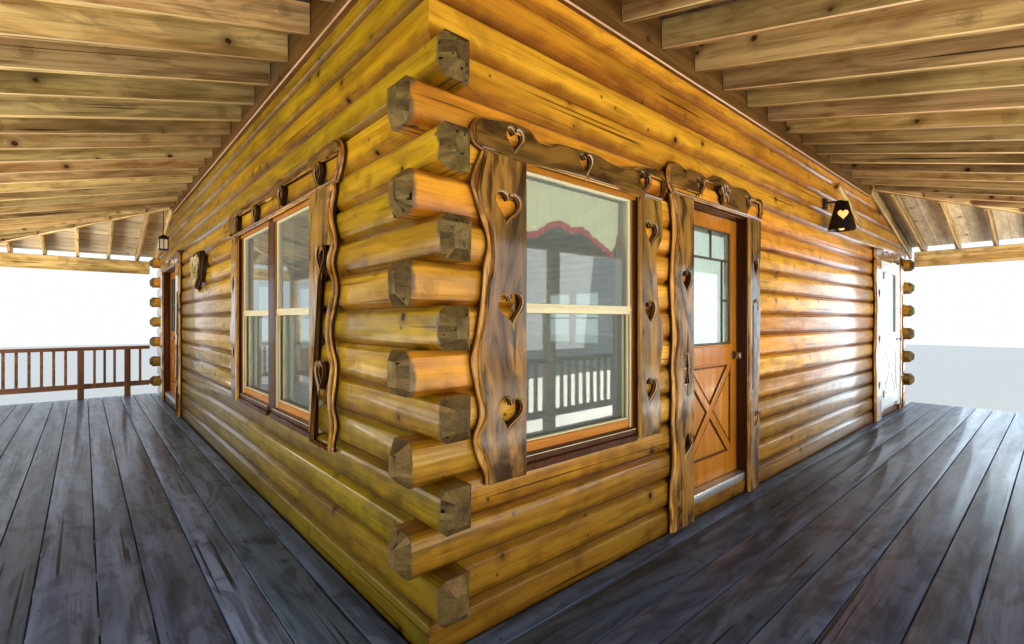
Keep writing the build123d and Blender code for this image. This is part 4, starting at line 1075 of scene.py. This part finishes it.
fit(join(window_slabs, "window_slabs"), "cabin", "dark_slab", "window_casings")
door_slabs += standard_casings("white_door", "front", 7.236, 8.440, 0.004, 2.225,
                               (0.285, 0.210), 3)
door_slabs += standard_casings("pair_doors", "left", 1.112, 2.740, 0.004, 2.212,
                               (0.210, 0.285), 3)
fit(join(door_slabs, "door_slabs"), "cabin", "dark_slab", "door_casings")

# Windows are a fixed upper pane over a sliding lower sash, in a lining let into the logs.
# Sashes and tracks are painted cream, heads and bottom rails are stained orange.


def paint(name, colour, rough=0.45, wear=0.12, metal=0.0):
    """Brushed paint or metal with faint streaks and some wear in its tone."""
    finish = Finish(name)
    brushed = finish.noise(finish.spots(), 22.0, 5.0)["Fac"]
    worn = tuple(part * (1 - wear) for part in colour)
    fresh = tuple(min(1.0, part * (1 + wear)) for part in colour)
    finish.look(base_color=finish.blend(brushed, worn, fresh), roughness=rough, metallic=metal)
    finish.bump(brushed, 0.12, 0.002)
    return finish.material


cream = paint("cream_paint", (0.74, 0.66, 0.40), 0.38)
olive_line = paint("olive_paint", (0.30, 0.27, 0.10), 0.42)
jamb_brown = wood("dark_jambs", "Z", (0.085, 0.028, 0.008), (0.050, 0.016, 0.005),
                  (0.018, 0.006, 0.002), knots=0.2, checks=0.2, tone=0.05, rough=0.32, coat=0.3)
orange_look = dict(pale=(0.58, 0.22, 0.020), mid=(0.44, 0.150, 0.012), dark=(0.23, 0.070, 0.006),
                   knots=0.0, checks=0.0, tone=0.04, rough=0.28, coat=0.4, ridge=0.12)
orange = {run: wood("orange_stain_" + run.lower(), run, **orange_look) for run in "XYZ"}

lining_low, lining_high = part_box("window_frames")
linings = dress("window_frames", "window_linings", "jamb_wood",
                [jamb_brown, cream, orange["X"], orange["Y"]], 0.003, grained=True)
for face in linings.data.polygons:
    inside_x, inside_y = from_walls(face.center)
    along_x = inside_y < inside_x
    outward = abs(face.normal.y if along_x else face.normal.x) > 0.7
    if abs(face.normal.z) > 0.7 or (outward and face.center.z > lining_high.z - 0.06):
        face.material_index = 2 if along_x else 3
    elif not outward:
        face.material_index = 1
    if face.center.z < lining_low.z + 0.06:
        face.material_index = 0

sash_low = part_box("window_sashes")[0].z
sashes = dress("window_sashes", "sash_rings", "cream_sash", [cream, orange["X"], orange["Y"]],
               0.004, 2)
for face in sashes.data.polygons:
    inside_x, inside_y = from_walls(face.center)
    ledge = abs(face.normal.z) > 0.7 and face.center.z > sash_low + 0.02
    if face.center.z < sash_low + 0.050 and not ledge:
        face.material_index = 1 if inside_y < inside_x else 2


def strip(side, low, high, finish, width=0.002):
    """A straight bead in a side's own frame, with eased edges."""
    bead = block("bead", low, high)
    ease_edges(bead, width, 1, 35)
    bead.data.materials.append(finish)
    set_on_side(bead, side)
    return bead


window_units = {"front": ((0.478, 1.414),),
                "left": ((6.500, 7.370), (7.490, 8.360))}
low, meeting, top = deck_top + 0.746, deck_top + 1.446, deck_top + 2.147
for side, units in window_units.items():
    beads = []
    rail = orange["X" if side == "front" else "Y"]
    for x0, x1 in units:
        for edge, inward in ((x0, 1), (x1, -1)):
            for out, wide, deep, finish in (
                    (0.000, 0.022, -0.030, jamb_brown), (0.023, 0.004, -0.026, orange["Z"]),
                    (0.028, 0.010, -0.020, cream), (0.039, 0.004, -0.012, olive_line),
                    (0.044, 0.010, -0.008, cream)):
                a, b = sorted((edge + inward * out, edge + inward * (out + wide)))
                end = top if out < 0.028 else meeting - 0.024
                beads.append(strip(side, (a, deep, low), (b, deep + 0.012, end), finish))
        for margin, (y0, y1), (z0, z1), finish, width in (
                (0.000, (-0.034, -0.018), (top - 0.040, top - 0.004), rail, 0.002),
                (0.024, (-0.010, 0.006), (low - 0.004, low + 0.047), rail, 0.003),
                (0.030, (-0.006, 0.008), (low + 0.048, low + 0.057), cream, 0.002),
                (0.000, (-0.040, 0.0), (low - 0.042, low - 0.005), jamb_brown, 0.003),
                (0.000, (-0.054, 0.0), (low - 0.080, low - 0.042), jamb_brown, 0.006),
                (0.010, (-0.0415, -0.0385), (low - 0.012, low - 0.008), cream, 0.0005),
                (0.004, (-0.021, -0.015), (meeting - 0.003, meeting + 0.010), cream, 0.002),
                (0.052, (0.012, 0.0195), (low + 0.046, low + 0.056), cream, 0.002)):
            beads.append(strip(side, (x0 + margin, y0, z0), (x1 - margin, y1, z1), finish,
                               width))
        for a, b in ((x0 + 0.030, x0 + 0.034), (x1 - 0.034, x1 - 0.030)):
            beads.append(strip(side, (a, -0.0165, meeting + 0.03), (b, -0.0145, top - 0.03),
                               olive_line, 0.0005))
        beads.append(strip(side, (x0 + 0.030, -0.0165, top - 0.034),
                           (x1 - 0.030, -0.0145, top - 0.030), olive_line, 0.0005))
    fit(join(beads, side + "_window_beads"), "cabin", "cream_sash")

# Window and door glass is clear and clean, a little green. Each pane lies in a rebate of its
# sash or leaf, behind the beads.
clear_glass = Finish("clear_glass")
clear_glass.bump(clear_glass.noise(clear_glass.spots(), 1.3)["Fac"], 0.04, 0.01)
clear_glass.look(base_color=(0.63, 0.73, 0.69), roughness=0.02, ior=1.52,
                 transmission_weight=0.85)
for node, body in (("window_glass", "cabin"), ("front_door_glass", "front_door"),
                   ("white_door_glass", "white_door"), ("side_door_back_glass", "side_door_back"),
                   ("side_door_front_glass", "side_door_front")):
    frame["nodes"][node].data.materials.clear()
    frame["nodes"][node].data.materials.append(clear_glass.material)

# The front door is stained orange: a glazed light with thin bars over a sunk panel that a
# crossbuck divides. Leaf, jambs and sill are joinery, and the knobs are aged metal.
leaf_low = deck_top + 0.163
stile = 0.115
bar_half = 0.009
door_metal = paint("aged_metal", (0.30, 0.27, 0.22), 0.32, 0.25, 0.9)
sill_metal = paint("sill_metal", (0.62, 0.64, 0.66), 0.35, 0.10, 0.8)
white_coat = paint("white_paint", (0.80, 0.82, 0.82), 0.35, 0.05)
bar_brown = paint("bar_brown", (0.060, 0.050, 0.020), 0.40)
# The walls of the sunk pockets round the door fields take this darker wood: painted shade.
moulding_shade = wood("moulding_shade", "own", (0.15, 0.055, 0.008), (0.09, 0.032, 0.005),
                      (0.04, 0.014, 0.003), rough=0.4)


def inset_triangle(points, margins):
    """A triangle whose sides are moved in, each by its own margin."""
    middle = [sum(part) / 3 for part in zip(*points)]
    lines = []
    for (x0, z0), (x1, z1), margin in zip(points, points[1:] + points[:1], margins):
        length = math.hypot(x1 - x0, z1 - z0)
        nx, nz = (z0 - z1) / length, (x1 - x0) / length
        if nx * (middle[0] - x0) + nz * (middle[1] - z0) < 0:
            nx, nz = -nx, -nz
        lines.append((nx, nz, nx * x0 + nz * z0 + margin))
    moved = []
    for (a, b, c), (d, e, f) in zip(lines, lines[1:] + lines[:1]):
        whole = a * e - b * d
        moved.append(((c * e - b * f) / whole, (a * f - c * d) / whole))
    return moved


def dress_leaf(node, side, x0, width, front, finish, bars, bar_finish):
    """A door leaf with a bead round its light and panel, and bars over its glass."""
    slot = "white_paint" if node == "white_door" else "orange_wood"
    edge = white_coat if finish is white_coat else moulding_shade
    leaf = dress(node, node + "_leaf", slot, [finish, door_metal, edge], 0.0035, 2,
                 grained=True, body=node)
    across = 1 if side == "front" else 0
    plane = side_frame[side][across]
    # Faces proud of the leaf take the metal, and the walls of the sunk pockets take painted shade.
    for face in leaf.data.polygons:
        deep = face.center[across] - plane
        if deep < front - 0.001 or deep > front + 0.0451:
            face.material_index = 1
        elif front + 0.003 < deep < front + 0.013:
            face.material_index = 2
    left, right = x0 + stile, x0 + width - stile
    light = (leaf_low + 1.035, leaf_low + 2.032 - 0.110)
    panel = (leaf_low + 0.180, leaf_low + 0.870)
    beads = []
    for (low, high), lip in ((light, 0.016), (panel, 0.014)):
        for a, b in ((left - lip, left), (right, right + lip)):
            beads.append(strip(side, (a, front - 0.007, low - lip),
                               (b, front + 0.004, high + lip), finish, 0.003))
        for a, b in ((low - lip, low), (high, high + lip)):
            beads.append(strip(side, (left, front - 0.007, a), (right, front + 0.004, b),
                               finish, 0.003))
    for (u0, v0), (u1, v1) in bars:
        aside, over = bar_half * (u0 == u1), bar_half * (v0 == v1)
        wide, high = right - left, light[1] - light[0]
        beads.append(strip(
            side, (left + wide * u0 - aside, front + 0.006, light[0] + high * v0 - over),
            (left + wide * u1 + aside, front + 0.018, light[0] + high * v1 + over), bar_finish))
    foot, head = panel[0] - deck_top, panel[1] - deck_top
    corners = [(left, foot), (right, foot), (right, head), (left, head)]
    centre = ((left + right) / 2, (panel[0] + panel[1]) / 2 - deck_top)
    for number in range(4):
        field = inset_triangle([corners[number], corners[(number + 1) % 4], centre],
                               (0.016, 0.050, 0.050))
        raised = sawn_slab("field", [(x, z, "VECTOR") for x, z in field], [], -front - 0.0118,
                           0.006, 0.0025)
        raised.data.materials.clear()
        raised.data.materials.append(finish)
        set_on_side(raised, side)
        beads.append(raised)
    rim = 0.012
    for (a, b), (low, high) in (((left, left + rim), light), ((right - rim, right), light),
                                ((left, right), (light[0], light[0] + rim)),
                                ((left, right), (light[1] - rim, light[1]))):
        beads.append(strip(side, (a, front + 0.004, low), (b, front + 0.016, high),
                           bar_finish))
    fit(join(beads, node + "_beads"), node, slot)


prairie = (((0.0, 0.745), (1.0, 0.745)), ((0.55, 0.745), (0.55, 1.0)),
           ((0.82, 0.0), (0.82, 0.745)), ((0.82, 0.39), (1.0, 0.39)))
dress_leaf("front_door", "front", 2.044, 0.914, 0.045, orange["Z"], prairie, bar_brown)
cross_bars = (((0.5, 0.0), (0.5, 1.0)), ((0.0, 0.5), (1.0, 0.5)))
dress_leaf("white_door", "front", 7.381, 0.914, -0.062, white_coat, (), white_coat)
dress_leaf("side_door_back", "left", 1.122, 0.800, 0.045, orange["Z"], cross_bars, bar_brown)
dress_leaf("side_door_front", "left", 1.930, 0.800, 0.045, orange["Z"], cross_bars, bar_brown)

jambs = dress("door_frames", "door_jambs", "jamb_wood", [jamb_brown, white_coat], 0.004, 2,
              grained=True)
for face in jambs.data.polygons:
    if face.center.x > corner_x + 6.5:
        face.material_index = 1
dress("door_sills", "door_thresholds", "sill_metal", [sill_metal], 0.005, 2)
dress("door_hinges", "hinge_knuckles", "black_iron", [door_metal], 0.001, 1, 50)

# A gathered cream valance with a dark red ruffle hangs on a rod in the front window, and a
# sheer white curtain is gathered on the front door, behind its glass.


def cloth_finish(name, colour, through):
    """Woven cloth whose threads follow its own unrolled width and drop, glowing in its own colour
    by through: painted light.
    """
    finish = Finish(name)
    laid = finish.add("UVMap", {}, uv_map="cut")["UV"]
    weave = finish.add("TexWave", {"Vector": laid, "Scale": 130.0, "Distortion": 1.5})["Fac"]
    slub = finish.noise(laid, 9.0)["Fac"]
    finish.look(base_color=finish.blend(slub, tuple(part * 0.80 for part in colour), colour),
                roughness=0.85, emission_color=colour, emission_strength=through)
    finish.bump(weave, 0.2, 0.001)
    return finish.material


def gathered(name, left, right, tops, feet, y, depth, pitch, rows, finish):
    """Cloth in soft folds between a top line and a lower edge, both given along x."""
    def height(line, x):
        for (x0, z0), (x1, z1) in zip(line, line[1:]):
            if x <= x1:
                return z0 + (z1 - z0) * (x - x0) / (x1 - x0)
        return line[-1][1]

    steps = int((right - left) / pitch * 10)
    bpy.ops.object.select_all(action="DESELECT")
    bpy.ops.mesh.primitive_grid_add(x_subdivisions=steps, y_subdivisions=rows, size=1)
    piece = bpy.context.object
    piece.name = name
    piece.data.name = name
    for vertex in piece.data.vertices:
        share, down = vertex.co.x + 0.5, 0.5 - vertex.co.y
        x = left + (right - left) * share
        turn = 2 * math.pi * (x - left) / pitch + 0.9 * math.sin(3.1 * x / pitch / 2)
        fold = depth * (0.35 + 0.65 * down) * math.sin(turn)
        z = height(tops, x) + (height(feet, x) - height(tops, x)) * down
        vertex.co = (corner_x + x, corner_y + y + fold, deck_top + z)
    cut = piece.data.uv_layers.new(name="cut")
    for loop in piece.data.loops:
        spot = piece.data.vertices[loop.vertex_index].co
        cut.data[loop.index].uv = (spot.x, spot.z)
    piece.data.materials.append(finish)
    bpy.ops.object.shade_smooth()
    return piece


def rod(name, left, right, y, z, body):
    """A thin round rod across an opening of the front wall, with eased ends."""
    bpy.ops.object.select_all(action="DESELECT")
    bpy.ops.mesh.primitive_cylinder_add(vertices=12, radius=0.005, depth=right - left,
                                        location=(0, 0, 0), rotation=(0, quarter, 0))
    piece = bpy.context.object
    piece.name = name
    piece.location = (corner_x + (left + right) / 2, corner_y + y, deck_top + z)
    bpy.ops.object.transform_apply()
    ease_edges(piece, 0.002, 2, 50)
    piece.data.materials.append(door_metal)
    fit(piece, body, "cream_sash")


# Each cloth glows faintly in its own colour: painted light for the daylight that reaches it
# through the glass.
cream_cloth = cloth_finish("cream_cloth", (0.86, 0.78, 0.52), 0.62)
red_cloth = cloth_finish("dark_red_cloth", (0.42, 0.010, 0.036), 0.75)
sheer_cloth = cloth_finish("sheer_cloth", (0.84, 0.90, 0.86), 0.95)
hem_line = [(0.500, 1.800), (0.560, 1.830), (0.688, 1.852), (0.790, 1.915), (0.871, 1.929),
            (0.960, 1.905), (1.055, 1.919), (1.150, 1.870), (1.237, 1.834), (1.324, 1.800),
            (1.350, 1.860), (1.392, 1.914)]
valance_y, sheer_y = 0.078, 0.0985
rod("valance_rod", 0.474, 1.418, valance_y, 2.112, "cabin")
valance = gathered("valance", 0.500, 1.392, [(0.500, 2.106), (1.392, 2.106)], hem_line,
                   valance_y, 0.010, 0.062, 10, cream_cloth)
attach(valance, "cabin")
ruffle = gathered("valance_ruffle", 0.500, 1.392, hem_line,
                  [(x, z - 0.036) for x, z in hem_line], valance_y, 0.012, 0.040, 3, red_cloth)
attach(ruffle, "cabin")
rod("sheer_top_rod", 2.150, 2.850, sheer_y, 2.063, "front_door")
rod("sheer_foot_rod", 2.150, 2.850, sheer_y, 1.203, "front_door")
sheer = gathered("sheer_curtain", 2.165, 2.837, [(2.165, 2.058), (2.837, 2.058)],
                 [(2.165, 1.208), (2.837, 1.208)], sheer_y, 0.006, 0.048, 4, sheer_cloth)
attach(sheer, "front_door")

# A sheet-iron lantern hangs on an arm by the front door with an amber bulb in it, a smaller
# one under the far hip, and a slanting brace and a woven heart are fixed to the logs.
black_iron = paint("black_iron", (0.022, 0.020, 0.018), 0.38, 0.3, 0.7)
amber = Finish("amber_glass")
amber_waves = amber.noise(amber.spots(), 60.0)["Fac"]
amber.look(base_color=amber.blend(amber_waves, (0.95, 0.42, 0.06), (1.0, 0.72, 0.25)),
           emission_color=(1.0, 0.62, 0.18), emission_strength=0.8, roughness=0.15)
plaque_wood = wood("plaque_wood", "Z", (0.62, 0.52, 0.26), (0.36, 0.28, 0.10),
                   (0.13, 0.09, 0.03), knots=0.4, checks=0.8, tone=0.1, rough=0.5)
for node, name, finish, slot, width in (
        ("bracket_light", "lantern_shade", black_iron, "black_iron", 0.002),
        ("bracket_light_bulb", "lantern_bulb", amber.material, "amber_glass", 0.006),
        ("hanging_lantern", "small_lantern", black_iron, "black_iron", 0.002),
        ("wall_brace", "slanting_brace", rafter_wood, "plaque_wood", 0.004),
        ("heart_plaque", "woven_heart", plaque_wood, "plaque_wood", 0.008)):
    dress(node, name, slot, [finish], width, 2, 20, grained=True)

lamp_heart = sawn_slab("lamp_heart", [(x, z - deck_top, "VECTOR") for x, z in heart(
    0.0, 0.0, 0.095, 0.105)], [], 0.0, 0.006, 0.001)
lamp_x, lamp_y, lamp_z = corner_x + 4.930, corner_y - 0.190, deck_top + 2.485
face_turn = math.radians(202.5)
face_tilt = math.atan2(0.075 * math.cos(math.pi / 8), 0.300)
for vertex in lamp_heart.data.vertices:
    u, out, up = vertex.co.x, -vertex.co.y, vertex.co.z
    reach = 0.0905 + out * math.cos(face_tilt) - up * math.sin(face_tilt)
    vertex.co = (lamp_x + reach * math.cos(face_turn) - u * math.sin(face_turn),
                 lamp_y + reach * math.sin(face_turn) + u * math.cos(face_turn),
                 lamp_z + up * math.cos(face_tilt) + out * math.sin(face_tilt))
lamp_heart.data.materials.clear()
lamp_heart.data.materials.append(amber.material)
fit(lamp_heart, "cabin", "amber_glass")

pane_cream = paint("lantern_panes", (0.86, 0.82, 0.62), 0.25)
cage_low, cage_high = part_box("hanging_lantern")
cage_x, cage_y = (cage_low.x + cage_high.x) / 2, (cage_low.y + cage_high.y) / 2
panes = []
for turn in range(4):
    for aside in (-0.0265, 0.0265):
        pane = block("pane", (aside - 0.0195, -0.063, cage_low.z + 0.022),
                     (aside + 0.0195, -0.0605, cage_low.z + 0.165))
        ease_edges(pane, 0.0008, 1, 35)
        pane.rotation_euler = (0, 0, turn * quarter)
        pane.location = (cage_x, cage_y, 0)
        bpy.ops.object.transform_apply()
        pane.data.materials.append(pane_cream)
        panes.append(pane)
fit(join(panes, "small_lantern_panes"), "cabin", "cream_sash")


def twig(points, radius, finish):
    """A closed twig bent through points of the left wall."""
    bpy.ops.object.select_all(action="DESELECT")
    bpy.ops.curve.primitive_bezier_circle_add(radius=0.1, location=(0, 0, 0))
    shape = bpy.context.object.data
    shape.dimensions = "3D"
    shape.splines.clear()
    run = shape.splines.new("POLY")
    run.points.add(len(points) - 1)
    for point, spot in zip(run.points, points):
        point.co = (*spot, 1)
    run.use_cyclic_u = True
    shape.bevel_depth = radius
    shape.bevel_resolution = 1
    bpy.ops.object.convert(target="MESH")
    bent = bpy.context.object
    bent.data.materials.clear()
    bent.data.materials.append(finish)
    bpy.ops.object.shade_smooth()
    return bent


heart_along, heart_up = 4.930, 1.960
twigs = []
for ply in range(17):
    size = 1.0 - 0.038 * ply
    out = 0.040 + 0.072 * max(0.0, math.sin(math.pi * min(1.0, (ply + 1) / 13))) ** 0.6
    loop = []
    for step, (s, z) in enumerate(heart(heart_along, heart_up, 0.62 * size, 0.43 * size)):
        sway = math.sin(1.7 * step + 2.3 * ply)
        loop.append((corner_x - out - 0.008 * sway, corner_y + s + 0.006 * sway,
                     deck_top + z + 0.006 * math.cos(2.1 * step + ply)))
    # The four largest twig loops are near black: painted shadow round the heart.
    twigs.append(twig(loop, 0.0125 if ply else 0.018, plaque_wood if ply > 3 else painted_shadow_wood))
fit(join(twigs, "twig_heart"), "cabin", "plaque_wood")
